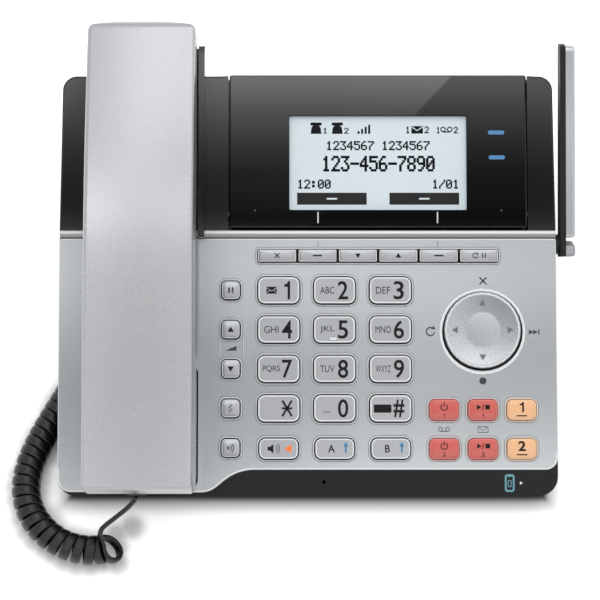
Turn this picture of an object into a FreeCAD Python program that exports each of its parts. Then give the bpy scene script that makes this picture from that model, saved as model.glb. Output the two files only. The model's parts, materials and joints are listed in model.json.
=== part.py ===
import FreeCAD, Part
import math
import os

from FreeCAD import Placement, Rotation, Vector

# Desk answering machine: a wedge-shaped base with a corded handset on its left,
# a tilting display at the back, a keypad in front and a folding antenna on the right.
# World frame: +X right, +Y back, +Z up from the table. Pieces are made about the middle of
# the base, then saved about the middle of the whole object without its cord.
# Panel frame: x right, v up the sloping panel from the front edge, w out of the panel.

os.makedirs("parts", exist_ok=True)

# ---- overall sizes -------------------------------------------------------------------
slope = 20.0              # panel angle above the table
body_width = 209.0
panel_length = 177.0      # along the slope, front edge to back edge
front_height = 15.0       # front edge of the panel above the table
deck_length = 10.8        # bare black strip in front of the silver plate
plate_end = 107.7         # back edge of the silver plate
strip_width = 3.6         # bright strip behind the plate
back_taper = 1.0          # how much each side draws in from the strip to the back
corner_radius = 6.0
wall = 2.2

# ---- case ----------------------------------------------------------------------------
top_depth = 11.0          # depth of the upper mouldings, panel face to the parting line
plate_thick = 2.0
case_inset = 1.5          # lower case inside the upper one, each side
foot_height = 1.5
foot_radius = 6.0
foot_recess = 0.8
fit_gap = 0.15            # between pieces that are fixed together
deck_drop = 0.4           # black deck below the silver plate
plate_chamfer = 0.35
sweep_start = -40.9       # where the plate's lower edge starts to rise beside the handset
sweep_end = -29.3
sweep_radii = (10.0, 20.0)         # of the bends at its start and its end
plate_start = 1.4         # lower edge of the plate under the handset
strip_top = 0.35          # front of the strip's flat top above the plate
strip_rise = 0.25         # how much that top rises towards its front edge
strip_inset = 0.2         # strip's ends inside the case's sides
case_foot_in = 1.5        # front and back of the lower case inside the upper one
case_back_lean = 4.5      # how far the lower case's back draws in at its foot
beyond = 200.0            # reach of cutters past the object
root = 0.4                # how far a boss runs into the wall it joins

# ---- keys ----------------------------------------------------------------------------
key_travel = 1.2
key_proud = 1.4           # key top above the plate
key_gap = 0.35            # round each key in its hole
key_edge = 0.6            # rounding of a key's top edge
flange_gap = 0.2          # flange below the case wall
flange_thick = 1.2
flange_lip = 1.0
mat_thick = 1.5
board_thick = 1.6

pad_x = 11.3              # middle column of the number keys
pad_top = 85.9            # top row of the number keys
col_pitch = 23.4
row_pitch = 16.5
number_key = (18.0, 11.8, 3.2)
call_row = 19.6
call_key = (16.9, 9.2, 3.0)
side_x = -32.2
side_key = (8.2, 8.2, 2.2)
soft_start = -21.3
soft_row = 100.5
soft_pitch = 16.97
soft_height = 5.6
soft_split = 0.5          # between neighbouring soft keys
line_x = 57.0
line_pitch = 16.2
line_top = 35.8
line_key = (12.7, 9.0, 2.6)
nav_x = 73.3
nav_v = 69.2
nav_radius = 16.1
nav_gap = 0.95
nav_top = 1.2             # above the plate
nav_edge = 0.9
nav_land = 15.0           # radius inside which the disc's face slopes down
nav_crown = 7.3           # radius of the domed middle
nav_sink = 0.5            # foot of that slope below the top
nav_rise = 0.35           # of the domed middle above that foot
rocker_arm = (10.0, 3.0)  # reach each way and width

# ---- display -------------------------------------------------------------------------
lens_left = -33.0
lens_right = 92.3
lens_start = 112.4
lens_thick = 2.0
lens_proud = 0.6
lens_corner = 0.9
display_gap = 0.5
display_depth = 9.2       # lens face to the back of the housing
display_wall = 1.6
tray_floor = 1.8          # of the base under the display
hinge_v = 118.4
hinge_w = -3.0
hinge_end = 5.4           # rounded lower end of the housing, about the hinge
hinge_pin = 1.5           # radius
hinge_play = 0.05
hinge_reach = 2.5         # pin length into each pillar
hinge_end_gap = 0.3
housing_inset = 0.6       # housing inside the lens's edge
lens_over = 0.3           # lens past the panel's back edge
lens_chamfer = 0.5
lcd_size = (84.0, 48.0, 4.2)
lcd_centre = (29.85, 140.0)
lcd_gap = 0.3
lcd_frame = 2.5           # module's rim round its glass
lcd_glass = 0.9

# ---- handset and its cradle ----------------------------------------------------------
grip_x = -68.7
grip_width = 44.6
grip_height = 37.0        # back of the handset above the panel
grip_end = 196.6
grip_bend = 90.0          # where the back starts to fall away
grip_drop = 385.0         # radius of that fall
grip_fall = 15.0          # slope it ends with
mouth_cup = (7.6, 50.0, -3.4)      # start, end, underside
ear_cup = (136.0, 181.0, -5.4)
shell_wall = 2.0
shell_split = (22.8, 14.0)         # parting height at each end
split_span = 200.0                 # between those two heights
split_gap = 0.1
ear_slots = (5, 4.0, 16.0, 1.6)    # count, pitch, length and width
mouth_holes = (3, 3.5, 0.8)        # count, pitch and radius
grip_corner = 3.4
grip_peak = 3.0           # rise of the far end's two halves, before the middle is rounded off
bow_share = 0.67          # of each half that the rounding takes
grip_lip = 1.7            # rounding of the back's near edge
grip_edge = 1.7           # rounding of the back's long edges
cup_gap = 0.6             # between a cup and its well, at the sides and below
cup_slack = 4.0           # the same at the well's two ends
well_floor = 2.2
guard_thick = 2.6         # wall on the right of the handset
guard_height = 8.0
guard_corner = 3.0
guard_overlap = 3.4       # over the strip
strip_clear = 0.8         # underside of that overlap above the panel
guard_end = 188.8
cradle_left = -91.6
hook_size = (8.0, 5.0)
hook_v = 146.0
hook_travel = 3.0
hook_gap = 0.3
hook_touch = 0.2          # below the handset at rest
receiver_radius = 17.5
receiver_depth = 8.0
capsule_radius = 5.0
capsule_depth = 5.0

# ---- antenna -------------------------------------------------------------------------
antenna_v = 106.2
antenna_w = -7.4
antenna_side_gap = 2.2    # body side to the antenna
antenna_inner = 2.4
antenna_outer = 4.0
antenna_length = 86.3     # pivot to tip
antenna_foot = 5.2        # half height at the pivot
antenna_tip = 4.0         # half height at the tip
antenna_rise = 4.0        # angle above the panel at rest
antenna_lean = 2.6        # slant of the tip
antenna_split = 0.5       # between the cap and the outer shell
antenna_edge = 1.2
antenna_end = 0.3         # outer shell short of the inner one's tip
antenna_clip = (2.3, 2.6) # length and radius of the pin's head inside the case
antenna_pin = 2.0         # radius
antenna_play = 0.05
antenna_cap = 2.3         # length of the bright cap beyond the pivot, along the antenna

# ---- inside --------------------------------------------------------------------------
speaker_radius = 25.0
speaker_rim = 2.0
basket_depth = 9.0
magnet_depth = 6.0
magnet_radius = 12.5
cone_depth = 6.8
cone_bottom = 7.5         # radius
speaker_v = 84.0
speaker_slots = (9, 4.4, 30.0, 1.8)    # count, pitch, length and width
mic_hole = (6.8, 5.7, 0.8)             # x, v and radius
board_left = -38.0
board_side_gap = 6.5      # board's right edge inside the side of the base
board_front = 13.0
board_back_gap = 1.5      # from the case wall
mat_inset = 0.5           # mat inside the board's edge
board_post = 1.7          # radius of the posts that hold the board off the keys
post_gap = 0.2            # round a post in the mat
board_posts = [(-0.4, 27.4), (82.0, 27.7), (-0.4, 94.8), (82.0, 94.8)]
screw_radius = 1.45
screw_head = 2.4
screw_length = 6.0        # thread inside the upper mouldings
screw_head_height = 1.4
screw_slot = (3.2, 0.8)   # length, width and depth of the cross
screw_floor = 0.6         # case left under a sunk head, less than the wall by this
screw_bite = 0.05         # round a screw in its pillar
screw_hole = 0.15         # round a screw and its head in the lower case
screw_spots = [(-97.0, 11.0), (97.0, 11.0), (-97.0, 150.0), (97.0, 150.0)]
foot_spots = [(-70.0, 16.0), (86.0, 16.0), (-86.0, 138.0), (86.0, 138.0)]
pillar_radius = 2.9
pillar_foot = 5.4         # height of the lower bosses above the table
usb_size = (13.4, 13.2, 5.6)       # x, v, w
usb_mouth = (12.2, 4.7)
usb_tongue = (10.8, 1.7)
socket_reach = 0.9        # into the case's side wall
usb_v = 20.5
dc_size = (14.0, 9.4, 9.6)
dc_v = 46.0
dc_bore = 3.2             # radius
dc_pin = 1.0
jack_size = (16.0, 13.0, 12.6)     # depth, width, height
jack_mouth = (9.8, 6.8)
jack_depth = 12.0
latch_slot = (3.6, 1.6)
jack_x = 32.0             # middle of the two line jacks
jack_pitch = 18.0
jack_z = 14.0
jack_back = 67.0          # handset jack behind the front edge

# ---- cord ----------------------------------------------------------------------------
cord_thick = 2.2
coil_radius = 6.25
plug_size = (11.0, 7.7, 6.6)
plug_clear = 0.3
plug_neck = (5.5, 5.0, 3.0)        # strain relief: reach from the jack's face, width, height
handset_plug_place = (-70.0, 0.4, 15.5)      # outer end of the plug, in the panel frame
bay = (-74.0, 34.0, 76.0)          # inner wall x, front and back from the front edge
bay_roof = 14.0

half = body_width / 2
front_y = -panel_length * math.cos(math.radians(slope)) / 2
to_world = Placement(Vector(0, front_y, front_height), Rotation(Vector(1, 0, 0), slope))


def solid_of(shape):
    """Largest solid of a result, with seams between coplanar faces removed."""
    biggest = max(shape.Solids, key=lambda s: s.Volume)
    return biggest.removeSplitter()


def in_world(shape):
    placed = shape.copy()
    placed.Placement = to_world.multiply(placed.Placement)
    return placed


def block(x0, x1, v0, v1, w0, w1):
    return Part.makeBox(x1 - x0, v1 - v0, w1 - w0, Vector(x0, v0, w0))


def rounded_wire(corners):
    """Closed outline in the x-v plane from (x, v, radius) corners."""
    edges = []
    starts = []
    ends = []
    count = len(corners)
    for i in range(count):
        here = Vector(corners[i][0], corners[i][1], 0)
        before = Vector(corners[i - 1][0], corners[i - 1][1], 0) - here
        after = Vector(corners[(i + 1) % count][0], corners[(i + 1) % count][1], 0) - here
        before.normalize()
        after.normalize()
        half_angle = before.getAngle(after) / 2
        radius = corners[i][2]
        reach = radius / math.tan(half_angle)
        starts.append(here + before * reach)
        ends.append(here + after * reach)
        if radius > 0:
            toward = (before + after).normalize()
            centre = here + toward * (radius / math.sin(half_angle))
            edges.append(Part.Arc(starts[i], centre - toward * radius, ends[i]).toShape())
        else:
            edges.append(None)
    outline = []
    for i in range(count):
        if edges[i]:
            outline.append(edges[i])
        follow = starts[(i + 1) % count]
        if ends[i].distanceToPoint(follow) > 1e-6:
            outline.append(Part.makeLine(ends[i], follow))
    return Part.Wire(Part.__sortEdges__(outline))


def slab(corners, w0, w1):
    """Prism of a rounded outline between two heights above the panel."""
    face = Part.Face(rounded_wire(corners))
    face.translate(Vector(0, 0, w0))
    return face.extrude(Vector(0, 0, w1 - w0))


def plate_box(x, v, width, height, radius, w0, w1):
    x0, x1 = x - width / 2, x + width / 2
    v0, v1 = v - height / 2, v + height / 2
    corners = [(x0, v0, radius), (x1, v0, radius), (x1, v1, radius), (x0, v1, radius)]
    return slab(corners, w0, w1)


def side_prism(points, x0, x1):
    """Prism along x of an outline in the v-w plane."""
    loop = [Vector(x0, v, w) for v, w in points]
    face = Part.Face(Part.makePolygon(loop + [loop[0]]))
    return face.extrude(Vector(x1 - x0, 0, 0))


def pin(x0, x1, v, w, radius):
    return Part.makeCylinder(radius, x1 - x0, Vector(x0, v, w), Vector(1, 0, 0))


def stud(x, v, w0, w1, radius):
    return Part.makeCylinder(radius, w1 - w0, Vector(x, v, w0))


def post(x, y, z0, z1, radius):
    return Part.makeCylinder(radius, z1 - z0, Vector(x, y, z0))


# ---- shared heights above the panel --------------------------------------------------
key_wall = -plate_thick - wall            # underside of the case wall round the keys
flange_top = key_wall - flange_gap
flange_base = flange_top - flange_thick
mat_top = flange_base - key_travel - flange_gap
board_top = mat_top - mat_thick
board_base = board_top - board_thick
rocker_top = key_wall + 1.7
strip_end = plate_end + strip_width
head_top = foot_height + wall - screw_floor
cradle_right = grip_x + grip_width / 2 + cup_gap + guard_thick


def key_table():
    """Every key as name: (x, v, width, height, corner radius, flange lip across x)."""
    keys = {}
    names = ["1", "2", "3", "4", "5", "6", "7", "8", "9", "star", "0", "hash"]
    width, height, radius = number_key
    for i, name in enumerate(names):
        x = pad_x + (i % 3 - 1) * col_pitch
        v = pad_top - (i // 3) * row_pitch
        keys["key_" + name] = (x, v, width, height, radius, flange_lip)
    width, height, radius = call_key
    for i, name in enumerate(["speaker", "mobile_a", "mobile_b"]):
        x = pad_x + (i - 1) * col_pitch
        keys["key_" + name] = (x, call_row, width, height, radius, flange_lip)
    width, height, radius = side_key
    for i, name in enumerate(["hold", "volume_up", "volume_down", "flash", "talk"]):
        v = pad_top - i * row_pitch
        keys["key_" + name] = (side_x, v, width, height, radius, flange_lip)
    names = ["cancel", "soft_left", "caller_list", "directory", "soft_right", "redial"]
    for i, name in enumerate(names):
        x = soft_start + (i + 0.5) * soft_pitch
        keys["key_" + name] = (x, soft_row, soft_pitch - soft_split, soft_height, 0.8, 0)
    width, height, radius = line_key
    for row in range(2):
        for i, name in enumerate(["answer", "play", "line"]):
            x = line_x + i * line_pitch
            v = line_top - row * row_pitch
            keys["key_%s_%d" % (name, row + 1)] = (x, v, width, height, radius, flange_lip)
    return keys


keys = key_table()


def key_cap(x, v, width, height, radius, lip):
    cap = plate_box(x, v, width, height, radius, flange_base, key_proud)
    top = [e for e in cap.Edges if e.BoundBox.ZMin > key_proud - 1e-6]
    cap = cap.makeFillet(key_edge, top)
    flange = plate_box(x, v, width + 2 * lip, height + 2 * flange_lip, radius, flange_base, flange_top)
    return solid_of(cap.fuse(flange))


def key_holes():
    """Cutters for the keys through plate and case wall."""
    holes = []
    for x, v, width, height, radius, lip in keys.values():
        if lip:
            size = (width + 2 * key_gap, height + 2 * key_gap, radius + key_gap)
            holes.append(plate_box(x, v, *size, key_wall - 1, 1))
    pocket_x = soft_start + 3 * soft_pitch
    pocket = (6 * soft_pitch + key_gap, soft_height + 2 * key_gap, 1.2)
    holes.append(plate_box(pocket_x, soft_row, *pocket, key_wall - 1, 1))
    holes.append(stud(nav_x, nav_v, key_wall - 1, 1, nav_radius + nav_gap))
    return holes


def body_outline(v0, v1, inset):
    """Plan outline of the base between two distances, narrowing towards the back."""
    corners = []
    radius = corner_radius - inset
    if v0 < 1:
        corners += [(-half + inset, v0 + inset, radius + 2), (half - inset, v0 + inset, radius + 2)]
    else:
        corners += [(-half + inset, v0, 0), (half - inset, v0, 0)]
    draw = back_taper * (v1 - strip_end) / (panel_length - strip_end)
    draw = max(draw, 0)
    if v1 > panel_length - 1:
        end = v1 - inset
    else:
        end = v1
        radius = 0
    corners += [(half - draw - inset, end, radius), (-half + draw + inset, end, radius)]
    return corners


def plate_outline(grow=0.0):
    """Silver plate: full width, its lower edge sweeping down under the handset."""
    return [
        (-half, plate_start - grow, corner_radius - 0.4),
        (sweep_start, plate_start - grow, sweep_radii[0]),
        (sweep_end, deck_length - grow, sweep_radii[1]),
        (half, deck_length - grow, corner_radius - 1.0),
        (half, plate_end + grow, 0),
        (-half, plate_end + grow, 0),
    ]


def cup_well(cup, grow, floor, top):
    """Space for one end of the handset in the panel."""
    x0 = grip_x - grip_width / 2 - grow
    x1 = grip_x + grip_width / 2 + grow
    length = cup[1] - cup[0] + 2 * (grow - cup_gap + cup_slack)
    return plate_box((x0 + x1) / 2, (cup[0] + cup[1]) / 2, x1 - x0, length, 3.0, floor, top)


def grille_slots(v_centre, count, pitch, length, width, w0, w1):
    """Row of slots under the handset, one behind the other."""
    slots = []
    for i in range(count):
        v = v_centre + (i - (count - 1) / 2) * pitch
        slots.append(plate_box(grip_x, v, length, width, width / 2 - 0.01, w0, w1))
    return slots


def screw_places():
    """Screws as (x, y), the two of the front moulding first."""
    return [(x, front_y + back) for x, back in screw_spots]


def pillar(x, y, ceiling):
    """Screw pillar from its foot up into the moulding whose underside is at ceiling."""
    shaft = post(x, y, pillar_foot, beyond, pillar_radius)
    shaft = shaft.cut(post(x, y, 0, pillar_foot + screw_length, screw_radius + screw_bite))
    above = in_world(block(-beyond, beyond, -beyond, beyond, ceiling + root, beyond))
    return shaft.cut(above)


def lower_outline(offset):
    """Side outline of the lower case in world y-z, drawn in by an offset."""
    parting = -top_depth
    front = in_world(Part.Vertex(0, case_inset, parting)).Point
    back = in_world(Part.Vertex(0, panel_length - case_inset, parting)).Point
    base = foot_height + offset
    front_foot = Vector(0, front.y + case_foot_in + offset, base)
    back_foot = Vector(0, back.y - case_foot_in - case_back_lean - offset, base)
    rise = Vector(0, math.sin(math.radians(slope)), -math.cos(math.radians(slope))) * -offset
    front_top = front + Vector(0, offset, 0) + rise
    back_top = back + Vector(0, -offset, 0) + rise
    return [front_foot, back_foot, back_top, front_top]


def lower_block(offset):
    """Outer or inner form of the lower case with rounded upright corners."""
    side = half - case_inset - offset
    points = [Vector(-side, p.y, p.z) for p in lower_outline(offset)]
    body = Part.Face(Part.makePolygon(points + [points[0]])).extrude(Vector(2 * side, 0, 0))
    y0, y1 = body.BoundBox.YMin, body.BoundBox.YMax
    radius = corner_radius + 1.0 - offset
    corners = [(-side, y0, radius), (side, y0, radius), (side, y1, radius), (-side, y1, radius)]
    return body.common(slab(corners, -10, 110))


def bay_box(grow):
    """Notch in the left side where the handset cord plugs in."""
    x1, back0, back1 = bay
    y0 = front_y + back0 - grow
    y1 = front_y + back1 + grow
    return block(-half - 5, x1 + grow, y0, y1, -5, bay_roof + grow)


def jack_placement(name):
    """Middle of a modular jack's mouth and the way it faces."""
    if name == "handset":
        middle = Vector(bay[0], front_y + jack_back, jack_size[2] / 2 + foot_height + wall)
        return Placement(middle, Rotation(Vector(0, 0, 1), 180))
    side = -1 if name == "line_1" else 1
    back = lower_outline(0)[1].y + back_lean() * (jack_z - foot_height)
    middle = Vector(jack_x + side * jack_pitch / 2, back - 0.9, jack_z)
    return Placement(middle, Rotation(Vector(0, 0, 1), 90))


def back_lean():
    """How far the lower case's back wall moves out for each millimetre up."""
    outline = lower_outline(0)
    return (outline[2].y - outline[1].y) / (outline[2].z - outline[1].z)


def jack_names():
    return ["handset", "line_1", "line_2"]


def placed(shape, placement):
    moved = shape.copy()
    moved.Placement = placement.multiply(moved.Placement)
    return moved


# ---- pieces of the base --------------------------------------------------------------
def lower_case():
    outer = lower_block(0)
    shell = outer.cut(lower_block(wall).cut(bay_box(wall)))
    shell = shell.cut(bay_box(0))
    for x, y in screw_places():
        boss = post(x, y, foot_height, pillar_foot, pillar_radius).common(outer)
        shell = shell.fuse(boss)
        shell = shell.cut(post(x, y, 0, beyond, screw_radius + screw_hole))
        shell = shell.cut(post(x, y, 0, head_top, screw_head + screw_hole))
    for x, y in foot_places():
        shell = shell.cut(post(x, y, 0, foot_height + foot_recess, foot_radius + fit_gap))
    for name in jack_names():
        where = jack_placement(name)
        shell = shell.cut(placed(jack_window(), where))
    usb = side_socket(usb_v, usb_size, fit_gap)
    dc = side_socket(dc_v, dc_size, fit_gap)
    return solid_of(shell.cut(in_world(usb)).cut(in_world(dc)))


def jack_window():
    """Opening in the wall for a jack's front end."""
    width, height = jack_size[1] + 2 * fit_gap, jack_size[2] + 2 * fit_gap
    return Part.makeBox(jack_size[0] + 6, width, height, Vector(-jack_size[0], -width / 2, -height / 2))


def foot_places():
    return [(x, front_y + back) for x, back in foot_spots]


def rubber_feet():
    pads = []
    for x, y in foot_places():
        pad = post(x, y, 0, foot_height + foot_recess, foot_radius)
        rim = [e for e in pad.Edges if e.BoundBox.ZMax < 1e-6]
        pads.append(pad.makeFillet(0.5, rim))
    return Part.makeCompound(pads)


def case_screws():
    screws = []
    long, narrow = screw_slot
    base = head_top - screw_head_height
    for x, y in screw_places():
        head = post(x, y, base, head_top, screw_head)
        for a, b in ((long, narrow), (narrow, long)):
            head = head.cut(Part.makeBox(a, b, narrow, Vector(x - a / 2, y - b / 2, base)))
        shank = post(x, y, head_top, pillar_foot + screw_length - 1, screw_radius)
        screws.append(solid_of(head.fuse(shank)))
    return Part.makeCompound(screws)


def upper_case():
    outer = slab(body_outline(0, strip_end, 0), -top_depth, -deck_drop)
    hollow = slab(body_outline(0, strip_end + 5, wall), -top_depth, key_wall)
    hollow = hollow.common(block(-half, half, 0, strip_end - wall, -top_depth, 0))
    case = outer.cut(hollow)
    case = case.cut(slab(plate_outline(fit_gap), -plate_thick, 5))
    case = case.cut(block(-half - 1, half + 1, plate_end + fit_gap, strip_end + 1, -plate_thick, 5))
    tub = cup_well(mouth_cup, cup_gap + wall, well_base(mouth_cup) - well_floor, key_wall)
    case = case.fuse(tub.common(outer))
    case = case.cut(cup_well(mouth_cup, cup_gap, well_base(mouth_cup), 5))
    for x, y in screw_places()[:2]:
        case = case.fuse(placed(pillar(x, y, key_wall), to_world.inverse()))
    for hole in key_holes():
        case = case.cut(hole)
    for x, v in board_posts:
        case = case.fuse(stud(x, v, board_top, key_wall + 0.1, board_post))
    for slot in grille_slots(speaker_v, *speaker_slots, key_wall - 1, 1):
        case = case.cut(slot)
    x, v, radius = mic_hole
    case = case.cut(stud(x, v, -top_depth, 5, radius))
    case = case.cut(antenna_hole())
    return solid_of(case)


def well_base(cup):
    return cup[2] - cup_gap


def face_plate():
    plate = slab(plate_outline(), -plate_thick, 0)
    rim = [e for e in plate.Edges if e.BoundBox.ZMin > -1e-6]
    plate = plate.makeChamfer(0.35, rim)
    for hole in key_holes():
        plate = plate.cut(hole)
    plate = plate.cut(cup_well(mouth_cup, cup_gap, -10, 5))
    for slot in grille_slots(speaker_v, *speaker_slots, key_wall - 1, 1):
        plate = plate.cut(slot)
    return solid_of(plate)


def trim_strip():
    """Bright bar with a flat top face and a sloping front."""
    v0 = plate_end + 2 * fit_gap
    v1 = strip_end - fit_gap
    top = strip_top
    profile = [(v0, -plate_thick), (v1, -plate_thick), (v1, top), (v1 - 1.0, top + strip_rise), (v0, -0.5)]
    return side_prism(profile, -half + strip_inset, half - strip_inset)


def rear_bezel():
    """Black surround of the display, with the handset's ear well on the left."""
    outline = bezel_outline(0)
    outer = slab(outline, -top_depth, 0)
    rim = [e for e in outer.Edges if e.BoundBox.ZMin > -1e-6 and e.BoundBox.YMax > strip_end + 0.01]
    outer = outer.makeFillet(0.8, rim)
    shelf = plate_box((cradle_left + cradle_right) / 2, (strip_end + guard_end) / 2,
                      cradle_right - cradle_left, guard_end - strip_end, 4.0, -top_depth, 0)
    outer = outer.fuse(shelf)
    inner = slab(bezel_outline(wall), -top_depth, -wall)
    under = block(cradle_left + wall, cradle_right - wall, strip_end + wall, guard_end - wall,
                  -top_depth, -wall)
    frame = outer.cut(inner).cut(under)
    tray = display_bay(wall, -top_depth, 0).common(slab(bezel_outline(0), -top_depth, 0))
    frame = frame.fuse(tray)
    frame = frame.cut(display_bay(0, -top_depth + tray_floor, 10))
    base = well_base(ear_cup)
    tub = cup_well(ear_cup, cup_gap + wall, base - well_floor, -wall)
    limits = slab(bezel_outline(0), -top_depth, 0).fuse(shelf)
    frame = frame.fuse(tub.common(limits))
    frame = frame.fuse(guard())
    frame = frame.cut(cup_well(ear_cup, cup_gap, base, 40))
    width, height = hook_size
    frame = frame.cut(plate_box(grip_x, hook_v, width + 2 * hook_gap, height + 2 * hook_gap, 1.2, -20, 0))
    for x, y in screw_places()[2:]:
        frame = frame.fuse(placed(pillar(x, y, -wall), to_world.inverse()))
    x0 = lens_left - display_gap - hinge_reach
    x1 = lens_right + display_gap + hinge_reach
    bore = pin(x0, x1, hinge_v, hinge_w, hinge_pin + hinge_play)
    return solid_of(frame.cut(bore))


def bezel_outline(inset):
    v0 = strip_end + inset
    end = panel_length - inset
    radius = corner_radius - inset
    draw = back_taper
    return [(-half + inset, v0, 0), (half - inset, v0, 0),
            (half - draw - inset, end, radius), (-half + draw + inset, end, radius)]


def guard():
    """Low wall that keeps the handset off the display and reaches over the strip."""
    near = strip_end - guard_overlap
    corner = guard_corner
    profile = [(strip_end, -1.0), (guard_end, -1.0), (guard_end, guard_height - corner),
               (guard_end - corner, guard_height), (near + 0.8, guard_height), (near, guard_height - 2),
               (near, strip_clear), (strip_end, strip_clear)]
    return side_prism(profile, cradle_right - guard_thick, cradle_right)


def display_bay(grow, floor, top):
    """Space of the display between its two pillars, open towards the back."""
    x0 = lens_left - display_gap - grow
    x1 = lens_right + display_gap + grow
    return block(x0, x1, strip_end - 0.5, panel_length + 20, floor, top)


def main_board():
    """Circuit board with its two soldered sockets on the right."""
    board = board_sheet(0, board_base, board_top)
    width, height = usb_mouth
    top = board_base - (usb_size[2] - height) / 2
    usb = side_socket(usb_v, usb_size, 0)
    usb = usb.cut(block(half - 14, half, usb_v - width / 2, usb_v + width / 2, top - height, top))
    wide, thick = usb_tongue
    middle = top - height / 2
    tongue = block(half - 14, half - 3.5, usb_v - wide / 2, usb_v + wide / 2, middle, middle + thick)
    dc = side_socket(dc_v, dc_size, 0)
    x = half - 12
    dc_w = board_base - dc_size[2] / 2
    dc = dc.cut(pin(x, half + 1, dc_v, dc_w, dc_bore)).fuse(pin(x - 1, half - 4.5, dc_v, dc_w, dc_pin))
    return solid_of(board.fuse(usb).fuse(tongue).fuse(dc))


def board_sheet(inset, w0, w1):
    """Sheet that fills the case under the keys, clear of its walls."""
    left, right = board_left + inset, half - board_side_gap - inset
    end = strip_end - wall - board_back_gap
    return block(left, right, board_front + inset, end - inset, w0, w1)


def side_socket(v, size, grow):
    """Body of a socket below the board's edge, or with a gap, the window for it in the case."""
    face = half - case_inset - wall + socket_reach
    end = face + wall + case_inset + 1 if grow else face
    v0, v1 = v - size[1] / 2 - grow, v + size[1] / 2 + grow
    return block(face - size[0], end, v0, v1, board_base - size[2] - grow, board_base)


def keypad_mat():
    mat = board_sheet(mat_inset, board_top, mat_top)
    for x, v in board_posts:
        mat = mat.cut(stud(x, v, board_top - 1, mat_top + 1, board_post + post_gap))
    return mat


def loudspeaker():
    """Rim, basket, magnet and cone as one bought-in unit."""
    rim_base = key_wall - speaker_rim
    basket_base = rim_base - basket_depth
    rim = stud(grip_x, speaker_v, rim_base, key_wall, speaker_radius)
    basket = Part.makeCone(magnet_radius + 1, speaker_radius - 2, basket_depth,
                           Vector(grip_x, speaker_v, basket_base))
    magnet = stud(grip_x, speaker_v, basket_base - magnet_depth, basket_base + 1, magnet_radius)
    dish = Part.makeCone(cone_bottom, speaker_radius - 3, cone_depth,
                         Vector(grip_x, speaker_v, key_wall - cone_depth))
    return solid_of(rim.fuse(basket).fuse(magnet).cut(dish))


def modular_jack():
    """Jack body whose mouth opens towards +x."""
    depth, width, height = jack_size
    body = Part.makeBox(depth, width, height, Vector(-depth, -width / 2, -height / 2))
    mouth_w, mouth_h = jack_mouth
    mouth = Part.makeBox(jack_depth, mouth_w, mouth_h, Vector(-jack_depth, -mouth_w / 2, -mouth_h / 2))
    slot_w, slot_h = latch_slot
    latch = Part.makeBox(jack_depth, slot_w, slot_h, Vector(-jack_depth, -slot_w / 2, mouth_h / 2 - 0.1))
    return solid_of(body.cut(mouth).cut(latch))


def modular_jacks():
    return Part.makeCompound([placed(modular_jack(), jack_placement(name)) for name in jack_names()])


def hook_switch():
    width, height = hook_size
    top = ear_cup[2] - hook_touch
    floor = well_base(ear_cup) - well_floor
    flange = floor - hook_travel - hook_gap
    plunger = plate_box(grip_x, hook_v, width, height, 1.0, flange - 2.5, top)
    rim = [e for e in plunger.Edges if e.BoundBox.ZMin > top - 1e-6]
    plunger = plunger.makeFillet(0.5, rim)
    lip = plate_box(grip_x, hook_v, width + 2, height + 2, 1.0, flange - flange_thick, flange)
    return solid_of(plunger.fuse(lip))


# ---- navigation disc -----------------------------------------------------------------
def nav_disc():
    disc = stud(nav_x, nav_v, key_wall + root, nav_top, nav_radius)
    rim = [e for e in disc.Edges if e.BoundBox.ZMin > nav_top - 1e-6]
    disc = disc.makeFillet(nav_edge, rim)
    foot = nav_top - nav_sink
    dip = Part.makeCone(nav_crown, nav_land, nav_sink, Vector(nav_x, nav_v, foot))
    ball = (nav_crown ** 2 + nav_rise ** 2) / (2 * nav_rise)
    dome = Part.makeSphere(ball, Vector(nav_x, nav_v, foot + nav_rise - ball))
    dome = dome.common(stud(nav_x, nav_v, foot - root, nav_top, nav_crown))
    under = stud(nav_x, nav_v, key_wall - 1, rocker_top + flange_gap, nav_radius - 5)
    return solid_of(disc.cut(dip).fuse(dome).cut(under))


def nav_rocker():
    """Cross under the disc, which it carries on two stub pins across v."""
    low = mat_top + flange_gap
    hub = stud(nav_x, nav_v, low, rocker_top, 2.0)
    reach, wide = rocker_arm
    arm = block(nav_x - reach, nav_x + reach, nav_v - wide / 2, nav_v + wide / 2, low + 1.4, rocker_top - 0.7)
    return solid_of(hub.fuse(arm))


# ---- display unit --------------------------------------------------------------------
def display_housing():
    top = lens_proud - lens_thick
    base = lens_proud - display_depth
    end = panel_length - housing_inset
    profile = [(hinge_v, top), (end, top), (end, base + 2), (end - 2, base), (hinge_v, base)]
    x0, x1 = lens_left + housing_inset, lens_right - housing_inset
    body = side_prism(profile, x0, x1)
    nose = pin(x0, x1, hinge_v, hinge_w, hinge_end)
    nose = nose.common(block(x0, x1, hinge_v - 9, hinge_v + 9, base, top))
    body = body.fuse(nose)
    length, width, depth = lcd_size
    x, v = lcd_centre
    floor = base + display_wall
    body = body.cut(plate_box(x, v, length + 2 * lcd_gap, width + 2 * lcd_gap, 1.0, floor, top + 1))
    near, far = x - length / 2 - display_wall - lcd_gap, x + length / 2 + display_wall + lcd_gap
    for a, b in ((x0 + display_wall, near), (far, x1 - display_wall)):
        body = body.cut(block(a, b, hinge_v + hinge_end + 0.6, panel_length - 3, floor, top + 1))
    reach = display_gap + housing_inset + hinge_reach - hinge_end_gap
    left = pin(x0 - reach, x0 + 1, hinge_v, hinge_w, hinge_pin)
    right = pin(x1 - 1, x1 + reach, hinge_v, hinge_w, hinge_pin)
    return solid_of(body.fuse(left).fuse(right))


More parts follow.
